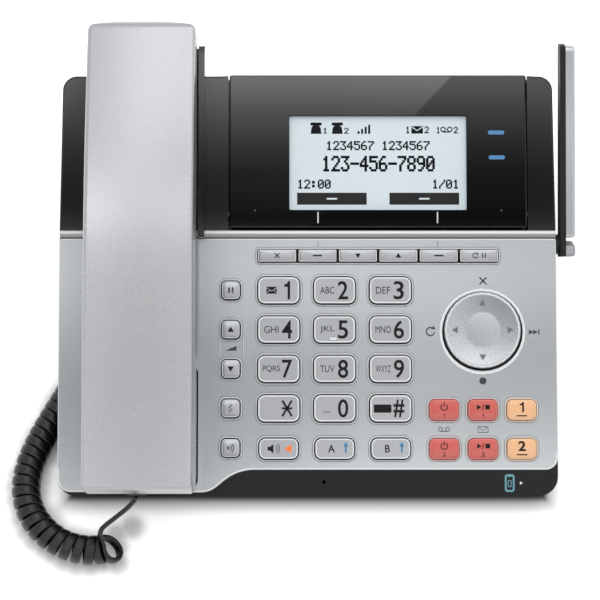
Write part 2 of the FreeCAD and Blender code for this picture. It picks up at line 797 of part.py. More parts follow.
def display_lens():
    x = (lens_left + lens_right) / 2
    end = panel_length + lens_over
    size = (lens_right - lens_left, end - lens_start, lens_corner)
    lens = plate_box(x, (lens_start + end) / 2, *size, lens_proud - lens_thick, lens_proud)
    rim = [e for e in lens.Edges if e.BoundBox.ZMin > lens_proud - 1e-6]
    return solid_of(lens.makeChamfer(lens_chamfer, rim))


def lcd_module():
    length, width, depth = lcd_size
    x, v = lcd_centre
    floor = lens_proud - display_depth + display_wall
    module = plate_box(x, v, length, width, 0.8, floor, floor + depth)
    size = (length - 2 * lcd_frame, width - 2 * lcd_frame, 0.5)
    glass = plate_box(x, v, *size, floor + depth, floor + depth + lcd_glass)
    return solid_of(module.fuse(glass))


# ---- antenna -------------------------------------------------------------------------
def antenna_blade(x0, x1, start, length):
    """Flat blade lying up the panel from the pivot, rounded at its tip."""
    corners = [(start, -antenna_foot, 1.0), (length, -antenna_tip - 0.6, 2.5),
               (length - antenna_lean, antenna_tip, 2.5), (start, antenna_foot, 1.0)]
    blade = Part.Face(rounded_wire(corners)).extrude(Vector(0, 0, x1 - x0))
    blade.Placement = Placement(Vector(x0, antenna_v, antenna_w), Rotation(Vector(1, 1, 1), 120))
    return tilted(blade)


def tilted(shape):
    turned = shape.copy()
    turned.rotate(Vector(0, antenna_v, antenna_w), Vector(1, 0, 0), antenna_rise)
    return turned


antenna_x = half + antenna_side_gap
antenna_mid = antenna_x + antenna_inner
antenna_far = antenna_mid + antenna_outer


def antenna_hole():
    """Bearing for the antenna's pivot in the side of the case."""
    return pin(half - wall - 1, half + 1, antenna_v, antenna_w, antenna_pin + antenna_play)


def antenna_inner_shell():
    blade = antenna_blade(antenna_x, antenna_mid - 0.05, -antenna_foot, antenna_length)
    boss = pin(half + 0.2, antenna_x + 0.1, antenna_v, antenna_w, antenna_foot - 1.0)
    blade = blade.fuse(boss)
    return solid_of(blade.cut(pin(half - 9, half + 20, antenna_v, antenna_w, antenna_pin + 0.05)))


def antenna_outer_shell():
    start = antenna_cap + antenna_split
    blade = antenna_blade(antenna_mid, antenna_far, start, antenna_length - antenna_end)
    far = [e for e in blade.Edges if e.BoundBox.XMin > antenna_far - 1e-6]
    return solid_of(blade.makeFillet(antenna_edge, far))


def antenna_pivot():
    """Bright cap with its pin, which runs in the side of the case."""
    cap = antenna_blade(antenna_mid, antenna_far, -antenna_foot, antenna_cap)
    far = [e for e in cap.Edges if e.BoundBox.XMin > antenna_far - 1e-6]
    cap = cap.makeFillet(antenna_edge, far)
    length, radius = antenna_clip
    inside = half - wall - hinge_end_gap
    shaft = pin(inside - length - root, antenna_mid + 0.5, antenna_v, antenna_w, antenna_pin)
    clip = pin(inside - length, inside, antenna_v, antenna_w, radius)
    return solid_of(cap.fuse(shaft).fuse(clip))


# ---- handset -------------------------------------------------------------------------
def grip_profile():
    """Side outline of the handset in the v-w plane, as (v, w, radius) corners."""
    m0, m1, mw = mouth_cup
    e0, e1, ew = ear_cup
    fall = math.radians(grip_fall)
    bend = grip_bend + grip_drop * math.tan(fall / 2)
    end_w = grip_height - (grip_end - bend) * math.tan(fall)
    return [
        (m0, mw, 3.0), (1.6, 12.0, 8.0), (1.0, 20.0, 8.0), (2.9, grip_height, grip_lip),
        (bend, grip_height, grip_drop), (grip_end, end_w, 6.0), (grip_end, 8.5, 5.0), (e1 + 2.4, 2.6, 4.0),
        (e1, ew, 2.8), (e0, ew, 3.0), (e0 - 9.0, 9.5, 6.0), (m1 + 9.0, 13.0, 6.0), (m1, mw, 3.0),
    ]


def grip_plan(inset, w0, w1):
    """Plan outline of the handset, with a slightly bowed far end."""
    side = grip_width / 2 - inset
    left, right = grip_x - side, grip_x + side
    turn = math.atan(grip_peak / side)
    bow_radius = bow_share * side / math.cos(turn) / math.tan(turn)
    bow = grip_peak - bow_radius * (1 / math.cos(turn) - 1)
    near, far = inset, grip_end - bow - inset
    radius = grip_corner - inset
    outline = [(left, near, radius), (right, near, radius), (right, far, radius),
               (grip_x, far + grip_peak, bow_radius), (left, far, radius)]
    return slab(outline, w0, w1)


def grip_body(inset):
    """Handset without its plan rounding, drawn in by a wall."""
    face = Part.Face(rounded_wire(grip_profile()))
    if inset:
        face = face.makeOffset2D(-inset, join=2)
    face.Placement = Placement(Vector(grip_x - grip_width / 2 + inset, 0, 0), Rotation(Vector(1, 1, 1), 120))
    return face.extrude(Vector(grip_width - 2 * inset, 0, 0))


def split_tool(above, gap):
    """Everything above or below the handset's parting surface."""
    near, far = shell_split
    rise = (far - near) / split_span
    v0, v1 = -10.0, split_span + 10.0
    w0, w1 = near + rise * v0 + gap, near + rise * v1 + gap
    end = beyond if above else -beyond
    return side_prism([(v0, w0), (v1, w1), (v1, end), (v0, end)], grip_x - beyond, grip_x + beyond)


def handset_outer():
    body = grip_body(0)
    sides = [e for e in body.Edges if e.BoundBox.XLength < 1e-6]
    return body.makeFillet(grip_edge, sides).common(grip_plan(0, -20, 60))


def handset_cavity():
    return grip_body(shell_wall).common(grip_plan(shell_wall, -20, 60))


def handset_back_shell():
    shell = handset_outer().common(split_tool(True, split_gap))
    return solid_of(shell.cut(handset_cavity()))


def handset_front_shell():
    shell = solid_of(handset_outer().common(split_tool(False, 0)))
    shell = shell.cut(handset_cavity())
    for slot in grille_slots(cup_middle(ear_cup), *ear_slots, -12, ear_cup[2] + 3):
        shell = shell.cut(slot)
    count, pitch, radius = mouth_holes
    for i in range(count):
        x = grip_x + (i - (count - 1) / 2) * pitch
        shell = shell.cut(stud(x, cup_middle(mouth_cup), -12, mouth_cup[2] + 3, radius))
    x, v, w = handset_plug_place
    wide, high = plug_size[1] / 2 + plug_clear, plug_size[2] / 2 + plug_clear
    shell = shell.cut(block(x - wide, x + wide, -9, v + plug_size[0] + 1, w - high, w + high))
    return solid_of(shell)


def cup_middle(cup):
    return (cup[0] + cup[1]) / 2


def handset_receiver():
    base = ear_cup[2] + shell_wall
    return stud(grip_x, cup_middle(ear_cup), base, base + receiver_depth, receiver_radius)


def handset_microphone():
    base = mouth_cup[2] + shell_wall
    return stud(grip_x, cup_middle(mouth_cup), base, base + capsule_depth, capsule_radius)


# ---- cord ----------------------------------------------------------------------------
def base_plug():
    """Plug in the handset jack, with its strain relief; returned in the jack's frame."""
    length, width, height = plug_size
    body = Part.makeBox(length + 2, width, height, Vector(-length, -width / 2, -height / 2))
    reach, wide, high = plug_neck
    neck = Part.makeBox(reach, wide, high, Vector(0, -wide / 2, -high / 2))
    return solid_of(body.fuse(neck))


def base_cord_plug():
    return placed(base_plug(), jack_placement("handset"))


def handset_cord_plug():
    x, v, w = handset_plug_place
    length, width, height = plug_size
    body = block(x - width / 2, x + width / 2, v, v + length, w - height / 2, w + height / 2)
    return in_world(body)


def plug_face():
    """Where the tail leaves the handset's plug, in the world."""
    x, v, w = handset_plug_place
    return in_world(Part.Vertex(x, v, w)).Point


def coil_route():
    """Middle of the coil lying on the table, from the base plug round to its free end."""
    start = jack_placement("handset").multVec(Vector(plug_neck[0], 0, 0))
    y = front_y
    z = coil_radius + 0.1
    points = [(-84.6, y + 67.0), (-90.2, y + 65.0), (-95.4, y + 60.6), (-99.6, y + 54.6),
              (-104.6, y + 45.6), (-110.2, y + 35.0), (-115.2, y + 24.4), (-118.6, y + 13.6),
              (-118.8, y + 3.2), (-115.4, y - 6.4), (-108.6, y - 14.4), (-99.6, y - 19.6),
              (-88.6, y - 21.4), (-78.0, y - 19.8)]
    return [Vector(start.x, start.y, z)] + [Vector(px, py, z) for px, py in points]


def tail_route():
    """Middle of the plain cord from the coil's end up to the handset's plug."""
    end = plug_face()
    y = front_y
    points = [(-88.2, y - 18.2, 12.0), (-85.7, y - 15.9, 14.9), (-82.2, y - 14.1, 17.6),
              (-78.7, y - 13.2, 20.2), (-75.26, y - 12.62, 22.67), (-72.27, y - 11.52, 25.4),
              (-70.67, y - 9.52, 27.46), (-70.0, y - 7.37, 28.81)]
    return [Vector(*p) for p in points] + [end]


def route_tube(points, radius, name):
    """Tube along straight runs joined by tangent arcs."""
    edges = []
    here = points[0]
    length = 0.0
    radii = []
    for i in range(1, len(points) - 1):
        before = points[i - 1] - points[i]
        after = points[i + 1] - points[i]
        run = min(before.Length, after.Length)
        inner = before.getAngle(after)
        reach = 0.45 * run
        arc_radius = reach * math.tan(inner / 2)
        radii.append(arc_radius)
        before.normalize()
        after.normalize()
        start = points[i] + before * reach
        end = points[i] + after * reach
        toward = (before + after).normalize()
        centre = points[i] + toward * (arc_radius / math.sin(inner / 2))
        middle = centre - toward * arc_radius
        line = Part.makeLine(here, start)
        arc = Part.Arc(start, middle, end).toShape()
        edges += [line, arc]
        length += line.Length + arc.Length
        here = end
    last = Part.makeLine(here, points[-1])
    edges.append(last)
    length += last.Length
    spine = Part.Wire(edges)
    first = points[1] - points[0]
    ring = Part.Wire(Part.makeCircle(radius, points[0], first))
    tube = spine.makePipeShell([ring], True, False)
    ratio = tube.Volume / (math.pi * radius ** 2 * length)
    print(name, "length %.1f" % length, "volume ratio %.4f" % ratio, "radii", ["%.1f" % r for r in radii])
    return tube


def cord_coil():
    return route_tube(coil_route(), coil_radius, "coil")


def cord_tail():
    return route_tube(tail_route(), cord_thick / 2, "tail")


# ---- write every piece ---------------------------------------------------------------
panel_pieces = {
    "upper_case": upper_case, "face_plate": face_plate, "trim_strip": trim_strip,
    "rear_bezel": rear_bezel, "main_board": main_board, "keypad_mat": keypad_mat,
    "loudspeaker": loudspeaker, "hook_switch": hook_switch, "nav_disc": nav_disc,
    "nav_rocker": nav_rocker, "display_housing": display_housing,
    "display_lens": display_lens, "lcd_module": lcd_module,
    "antenna_inner_shell": antenna_inner_shell, "antenna_outer_shell": antenna_outer_shell,
    "antenna_pivot": antenna_pivot, "handset_back_shell": handset_back_shell,
    "handset_front_shell": handset_front_shell, "handset_receiver": handset_receiver,
    "handset_microphone": handset_microphone,
}
world_pieces = {
    "lower_case": lower_case, "rubber_feet": rubber_feet, "case_screws": case_screws,
    "modular_jacks": modular_jacks,
}
cord_pieces = {
    "base_cord_plug": base_cord_plug, "cord_coil": cord_coil, "cord_tail": cord_tail,
    "handset_cord_plug": handset_cord_plug,
}


def middle_of(shapes):
    """Middle of the plan of some shapes, at table height."""
    box = FreeCAD.BoundBox()
    for shape in shapes:
        box.add(shape.optimalBoundingBox(False, False))
    return Vector(box.Center.x, box.Center.y, 0)


def write_all():
    pieces = {name: in_world(make()) for name, make in panel_pieces.items()}
    pieces.update({name: make() for name, make in world_pieces.items()})
    pieces.update({name: in_world(key_cap(*sizes)) for name, sizes in keys.items()})
    middle = middle_of(pieces.values())
    pieces.update({name: make() for name, make in cord_pieces.items()})
    for name, shape in pieces.items():
        moved = shape.copy()
        moved.translate(middle * -1)
        moved.exportStep("parts/" + name + ".step")
    print("pieces", len(pieces), "middle", "%.4f %.4f" % (middle.x, middle.y))


write_all()
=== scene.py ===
import json
import math
import bpy
import numpy as np
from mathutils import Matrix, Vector


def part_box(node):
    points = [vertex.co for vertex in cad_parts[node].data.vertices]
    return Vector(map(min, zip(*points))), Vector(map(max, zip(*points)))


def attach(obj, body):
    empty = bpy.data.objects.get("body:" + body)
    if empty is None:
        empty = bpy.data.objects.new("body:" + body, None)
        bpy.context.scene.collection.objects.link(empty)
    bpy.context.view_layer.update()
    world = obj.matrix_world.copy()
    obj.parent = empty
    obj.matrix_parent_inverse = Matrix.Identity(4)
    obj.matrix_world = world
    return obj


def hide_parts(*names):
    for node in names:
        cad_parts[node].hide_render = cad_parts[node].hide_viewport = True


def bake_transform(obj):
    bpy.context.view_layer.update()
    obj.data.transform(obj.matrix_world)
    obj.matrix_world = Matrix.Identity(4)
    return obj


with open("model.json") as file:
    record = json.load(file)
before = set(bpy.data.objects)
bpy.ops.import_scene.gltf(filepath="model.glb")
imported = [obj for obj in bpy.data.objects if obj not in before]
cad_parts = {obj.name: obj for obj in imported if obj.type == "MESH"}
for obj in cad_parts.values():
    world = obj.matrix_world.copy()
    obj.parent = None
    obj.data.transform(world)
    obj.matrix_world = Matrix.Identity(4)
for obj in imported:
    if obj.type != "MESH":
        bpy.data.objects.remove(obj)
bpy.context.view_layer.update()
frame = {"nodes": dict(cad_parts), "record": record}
nodes = frame["nodes"]
print("frame loaded:", len(nodes), "nodes")

# Panel frame, in millimetres: x to the right, v up the slope from its front edge, w out of it.
panel = {"slope": 20.0, "frontY": -85.9193, "frontZ": 15.0, "shiftX": -4.3}
slope = math.radians(panel["slope"])


def onPanel(x, v, w):
    # turned by the slope about x, then moved to the front edge; metres come out
    x, v, w = np.broadcast_arrays(np.asarray(x, float), np.asarray(v, float), np.asarray(w, float))
    y = panel["frontY"] + v * math.cos(slope) - w * math.sin(slope)
    z = panel["frontZ"] + v * math.sin(slope) + w * math.cos(slope)
    return np.stack([x + panel["shiftX"], y, z], -1) / 1000


def linear(r, g, b, a=1.0):
    # display colour out of 255 to scene colour
    c = np.array([r, g, b], float) / 255
    c = np.where(c <= 0.04045, c / 12.92, ((c + 0.055) / 1.055) ** 2.4)
    return (float(c[0]), float(c[1]), float(c[2]), a)


# camera, at the middle of the panel and steeply above it
camera = {"spot": (-3.2, 81.9, 0.0), "elevation": 65.5, "distance": 900.0, "lens": 128.6}


def placeCamera():
    # it looks at the spot from the front, raised by the elevation, without a turn or shift
    data = bpy.data.cameras.new("camera")
    data.lens = camera["lens"]
    data.clip_start = 0.05
    data.clip_end = 20
    cameraObject = bpy.data.objects.new("camera", data)
    bpy.context.scene.collection.objects.link(cameraObject)
    target = Vector(onPanel(*camera["spot"]))
    e = math.radians(camera["elevation"])
    away = Vector((0, -math.cos(e), math.sin(e)))
    cameraObject.location = target + away * camera["distance"] / 1000
    cameraObject.rotation_euler = (math.pi / 2 - e, 0, 0)
    bpy.context.scene.camera = cameraObject


placeCamera()


# small makers for meshes and lines
def makeMesh(name, points, faces, smooth=True):
    # an object at the origin, with its place in its mesh
    mesh = bpy.data.meshes.new(name)
    mesh.from_pydata(np.asarray(points, float).reshape(-1, 3).tolist(), [], faces)
    mesh.validate()
    if smooth:
        mesh.shade_smooth()
    else:
        mesh.shade_flat()
    piece = bpy.data.objects.new(name, mesh)
    bpy.context.scene.collection.objects.link(piece)
    return piece


def writeValues(piece, name, values):
    # one number for each point, which the materials read by name
    held = piece.data.attributes.new(name, "FLOAT", "POINT")
    held.data.foreach_set("value", np.asarray(values, np.float32).ravel())


def runOf(line):
    # how far along a line each of its points is
    return np.concatenate([[0], np.cumsum(np.linalg.norm(np.diff(line, axis=0), axis=1))])


def pointsAt(line, run, wanted):
    # the points of a line at the distances wanted along it
    return np.stack([np.interp(wanted, run, line[:, i]) for i in range(3)], -1)


def gridFaces(rows, columns, closeRows=False, closeColumns=False):
    # quads between neighbouring rows and columns of a grid of points
    r = np.arange(rows if closeRows else rows - 1)
    c = np.arange(columns if closeColumns else columns - 1)
    r, c = [a.ravel() for a in np.meshgrid(r, c, indexing="ij")]
    r2, c2 = (r + 1) % rows, (c + 1) % columns
    return np.stack([r * columns + c, r * columns + c2, r2 * columns + c2, r2 * columns + c], -1).tolist()


def meshOf(data):
    # the mesh of a curve or text, and nothing else of it left behind
    holder = bpy.data.objects.new("holder", data)
    bpy.context.scene.collection.objects.link(holder)
    bpy.context.view_layer.update()
    mesh = bpy.data.meshes.new_from_object(holder)
    bpy.data.objects.remove(holder)
    points = np.array([p.co for p in mesh.vertices], float)
    faces = [list(p.vertices) for p in mesh.polygons]
    bpy.data.meshes.remove(mesh)
    return points, faces


def splineLine(name, points):
    # points along the smooth spline whose control points are given
    data = bpy.data.curves.new(name, "CURVE")
    data.dimensions = "3D"
    data.resolution_u = 24
    spline = data.splines.new("NURBS")
    spline.points.add(len(points) - 1)
    for control, place in zip(spline.points, points):
        control.co = (*place, 1)
    spline.order_u = 3
    spline.use_endpoint_u = True
    return meshOf(data)[0]


def evenSteps(line, step):
    # the same line with its points an equal distance apart
    run = runOf(line)
    count = max(int(round(run[-1] / step)), 2)
    wanted = np.linspace(0, run[-1], count + 1)
    return pointsAt(line, run, wanted), wanted


def unit(a):
    # each row divided by its own length
    return a / np.maximum(np.linalg.norm(a, axis=-1, keepdims=True), 1e-12)


def ease(t):
    # from 0 to 1 with level ends
    t = np.clip(t, 0, 1)
    return t * t * (3 - 2 * t)


# handset cord: a flat cord wound into a coil, then a plain tail; sizes in mm, routes in metres
cord = {
    "width": 4.0, "thick": 2.0, "coilRadius": 5.15, "pitchStart": 4.08, "pitchEnd": 4.7,
    "stepsPerTurn": 30, "startRun": 5.0, "endShort": 2.6, "endTilt": 62.0, "tiltRun": 10.0,
    "fine": 0.1, "tailSkip": 6.2, "joinReach": 0.95, "joinSteps": 90, "turnRun": 13.0, "turnEarly": 1.0,
    "tailWide": (0.0, -0.35, 1.0), "sides": 20, "flatWide": 0.6, "flatThin": 0.5,
    "follow": ((-0.1150, -0.0980, 0.0060), (-0.0910, -0.1140, 0.0300)),
    "coilRoute": [
        (-0.08380, -0.01892, 0.00635), (-0.08890, -0.01892, 0.00635), (-0.09450, -0.02092, 0.00635),
        (-0.09970, -0.02532, 0.00635), (-0.10390, -0.03132, 0.00635), (-0.10890, -0.04032, 0.00635),
        (-0.11450, -0.05092, 0.00635), (-0.11950, -0.06152, 0.00635), (-0.12290, -0.07232, 0.00635),
        (-0.12310, -0.08272, 0.00635), (-0.11970, -0.09232, 0.00635), (-0.11290, -0.10032, 0.00635),
        (-0.10390, -0.10552, 0.00635), (-0.09290, -0.10732, 0.00635), (-0.08230, -0.10572, 0.00635)],
    "tailRoute": [
        (-0.09250, -0.10330, 0.01180), (-0.09090, -0.10130, 0.01400), (-0.08800, -0.09940, 0.01680),
        (-0.08440, -0.09770, 0.01980), (-0.08080, -0.09600, 0.02290), (-0.07790, -0.09450, 0.02560),
        (-0.07580, -0.09300, 0.02780), (-0.07450, -0.09190, 0.02915), (-0.07430, -0.09084, 0.02970)],
}


def coilLine():
    # a point circles the route while it moves along it: the circle's plane is square to the
    # route, and leans back over the last turns so that the open end shows
    middle, run = evenSteps(splineLine("coil_route", cord["coilRoute"]), cord["fine"] / 1000)
    keep = run <= run[-1] - cord["endShort"] / 1000
    middle, run = middle[keep], run[keep]
    length = run[-1]
    ahead = unit(np.gradient(middle, axis=0))
    pitch = np.interp(run, [0, length], [cord["pitchStart"], cord["pitchEnd"]]) / 1000
    turns = np.concatenate([[0], np.cumsum(np.diff(run) / ((pitch[1:] + pitch[:-1]) / 2))])
    turns -= turns[-1]
    lean = math.radians(cord["endTilt"]) * ease(1 - (length - run) / (cord["tiltRun"] / 1000))
    up = np.array([0, 0, 1.0])
    axis = unit(ahead * np.cos(lean)[:, None] + up * np.sin(lean)[:, None])
    side = unit(np.cross(ahead, up))
    top = unit(np.cross(side, axis))
    angle = 2 * math.pi * turns
    radius = cord["coilRadius"] / 1000 * ease(run / (cord["startRun"] / 1000))
    outward = top * np.cos(angle)[:, None] - side * np.sin(angle)[:, None]
    outer = cord["coilRadius"] + cord["thick"] / 2
    lift = np.maximum(outer * np.cos(lean) + cord["width"] / 2 * np.sin(lean) - outer, 0) / 1000
    line = middle + outward * radius[:, None] + up * lift[:, None]
    return line, axis


def cordPath():
    # the coil, a short curve whose ends go on in the coil's and the tail's own directions (a cubic
    # in t that blends both ends' places and slopes), and the tail; wide is the flat side's direction
    line, axis = coilLine()
    tail = evenSteps(splineLine("tail_route", cord["tailRoute"]), cord["fine"] / 1000)[0]
    keep = tail[int(round(cord["tailSkip"] / cord["fine"])):]
    a, b = line[-1], keep[0]
    da, db = unit(line[-1] - line[-6]), unit(keep[5] - keep[0])
    reach = np.linalg.norm(b - a) * cord["joinReach"]
    t = np.linspace(0, 1, cord["joinSteps"])[1:-1, None]
    join = ((2 * t**3 - 3 * t**2 + 1) * a + (t**3 - 2 * t**2 + t) * da * reach
            + (3 * t**2 - 2 * t**3) * b + (t**3 - t**2) * db * reach)
    whole = np.concatenate([line, join, keep])
    wide = np.concatenate([axis, np.repeat(axis[-1:], len(join) + len(keep), 0)])
    run = runOf(whole)
    turnIn = ease((run - run[len(line)] + cord["turnEarly"] / 1000) / (cord["turnRun"] / 1000))[:, None]
    wide = unit(wide * (1 - turnIn) + np.array(cord["tailWide"]) * turnIn)
    return whole, wide, run


def makeCord():
    # section: a flat oval carried along the path; its cosine and sine are raised to powers under
    # 1, which makes its wide faces nearly straight
    whole, wide, run = cordPath()
    step = 2 * math.pi * cord["coilRadius"] / 1000 / cord["stepsPerTurn"]
    count = int(run[-1] / step)
    wanted = np.linspace(0, run[-1], count)
    path, wide = pointsAt(whole, run, wanted), pointsAt(wide, run, wanted)
    ahead = unit(np.gradient(path, axis=0))
    wide = unit(wide - ahead * np.sum(wide * ahead, -1, keepdims=True))
    thin = np.cross(ahead, wide)
    sides = cord["sides"]
    turn = np.linspace(0, 2 * math.pi, sides, endpoint=False)
    c, s = np.cos(turn), np.sin(turn)
    across = np.sign(c) * np.abs(c) ** cord["flatWide"] * cord["width"] / 2000
    through = np.sign(s) * np.abs(s) ** cord["flatThin"] * cord["thick"] / 2000
    points = path[:, None] + wide[:, None] * across[:, None] + thin[:, None] * through[:, None]
    faces = gridFaces(len(path), sides, closeColumns=True)
    first, last = list(range(sides)), list(range((len(path) - 1) * sides, len(path) * sides))
    faces += [first[::-1], last]
    piece = makeMesh("handset_cord", points, [f[::-1] for f in faces])
    uv = piece.data.uv_layers.new(name="alongCord")
    index = np.zeros(len(piece.data.loops), np.int32)
    piece.data.loops.foreach_get("vertex_index", index)
    row, column = index // sides, index % sides
    flat = np.stack([wanted[np.minimum(row, count - 1)] * 100, column / sides], -1)
    uv.data.foreach_set("uv", flat.astype(np.float32).ravel())
    return piece, path, float(run[-1])


cordPiece, cordLinePoints, cordLength = makeCord()
print("cord: %.3f m" % cordLength)
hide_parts("cord_coil", "cord_tail")
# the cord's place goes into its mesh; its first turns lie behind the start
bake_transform(cordPiece)


# shared parts of the materials
def newGroup(name, inputs, outputs):
    group = bpy.data.node_groups.new(name, "ShaderNodeTree")
    for label, kind, value in inputs:
        socket = group.interface.new_socket(name=label, in_out="INPUT", socket_type="NodeSocket" + kind)
        if value is not None:
            socket.default_value = value
    for label, kind in outputs:
        group.interface.new_socket(name=label, in_out="OUTPUT", socket_type="NodeSocket" + kind)
    return group, group.nodes.new("NodeGroupInput"), group.nodes.new("NodeGroupOutput")


def math2(tree, operation, a, b=None, clamp=False):
    # one Math node; a and b are sockets or numbers
    node = tree.nodes.new("ShaderNodeMath")
    node.operation = operation
    node.use_clamp = clamp
    for socket, value in zip(node.inputs, (a, b)):
        if value is None:
            continue
        if isinstance(value, (int, float)):
            socket.default_value = value
        else:
            tree.links.new(value, socket)
    return node.outputs[0]


def mapRange(tree, value, low, high, start, end):
    # a straight change from start to end while value goes from low to high, held outside
    node = tree.nodes.new("ShaderNodeMapRange")
    for label, number in (("From Min", low), ("From Max", high), ("To Min", start), ("To Max", end)):
        node.inputs[label].default_value = number
    tree.links.new(value, node.inputs["Value"])
    return node.outputs[0]


def scaleColour(tree, colour, gain):
    # a colour times a number
    node = tree.nodes.new("ShaderNodeVectorMath")
    node.operation = "SCALE"
    tree.links.new(colour, node.inputs[0])
    tree.links.new(gain, node.inputs["Scale"])
    return node.outputs[0]


def readValue(tree, name):
    # a number that the mesh holds for each point
    node = tree.nodes.new("ShaderNodeAttribute")
    node.attribute_name = name
    return node.outputs["Fac"]


def partsOf(tree, place):
    # a place's parts along X and Y
    node = tree.nodes.new("ShaderNodeSeparateXYZ")
    tree.links.new(place, node.inputs[0])
    return node.outputs["X"], node.outputs["Y"]


def nodeOf(tree, kind):
    return [node for node in tree.nodes if node.type == kind][0]


def noise(tree, place, scale, detail=2.0, roughness=0.5):
    node = tree.nodes.new("ShaderNodeTexNoise")
    tree.links.new(place, node.inputs["Vector"])
    if isinstance(scale, (int, float)):
        node.inputs["Scale"].default_value = scale
    else:
        tree.links.new(scale, node.inputs["Scale"])
    node.inputs["Detail"].default_value = detail
    node.inputs["Roughness"].default_value = roughness
    return node.outputs["Fac"]


grainLook = {"fineDetail": 3.0, "fineRough": 0.6, "driftScale": 16.0, "driftDetail": 2.0,
             "depth": 0.00005, "roughChange": 0.10}


def buildGrain():
    # fine speckle of a given size in millimetres, and a slow drift over the whole surface;
    # both change the colour and the roughness, and the speckle gives the height
    group, source, sink = newGroup("surfaceGrain", [
        ("Place", "Vector", None), ("Colour", "Color", (0.5, 0.5, 0.5, 1)), ("Size", "Float", 0.3),
        ("Speckle", "Float", 0.1), ("Drift", "Float", 0.05), ("Roughness", "Float", 0.4),
        ("Rough Change", "Float", 0.1)],
        [("Colour", "Color"), ("Roughness", "Float"), ("Height", "Float")])
    scale = math2(group, "DIVIDE", 1000.0, source.outputs["Size"])
    fine = noise(group, source.outputs["Place"], scale, grainLook["fineDetail"], grainLook["fineRough"])
    slow = noise(group, source.outputs["Place"], grainLook["driftScale"], grainLook["driftDetail"])
    fineOff = math2(group, "SUBTRACT", fine, 0.5)
    slowOff = math2(group, "SUBTRACT", slow, 0.5)
    gain = math2(group, "ADD", math2(group, "MULTIPLY", fineOff, source.outputs["Speckle"]),
                 math2(group, "MULTIPLY", slowOff, source.outputs["Drift"]))
    gain = math2(group, "ADD", gain, 1.0)
    group.links.new(scaleColour(group, source.outputs["Colour"], gain), sink.inputs["Colour"])
    change = math2(group, "MULTIPLY", math2(group, "ADD", fineOff, slowOff), source.outputs["Rough Change"])
    rough = math2(group, "ADD", source.outputs["Roughness"], change, clamp=True)
    group.links.new(rough, sink.inputs["Roughness"])
    group.links.new(fine, sink.inputs["Height"])
    return group


surfaceGrain = buildGrain()
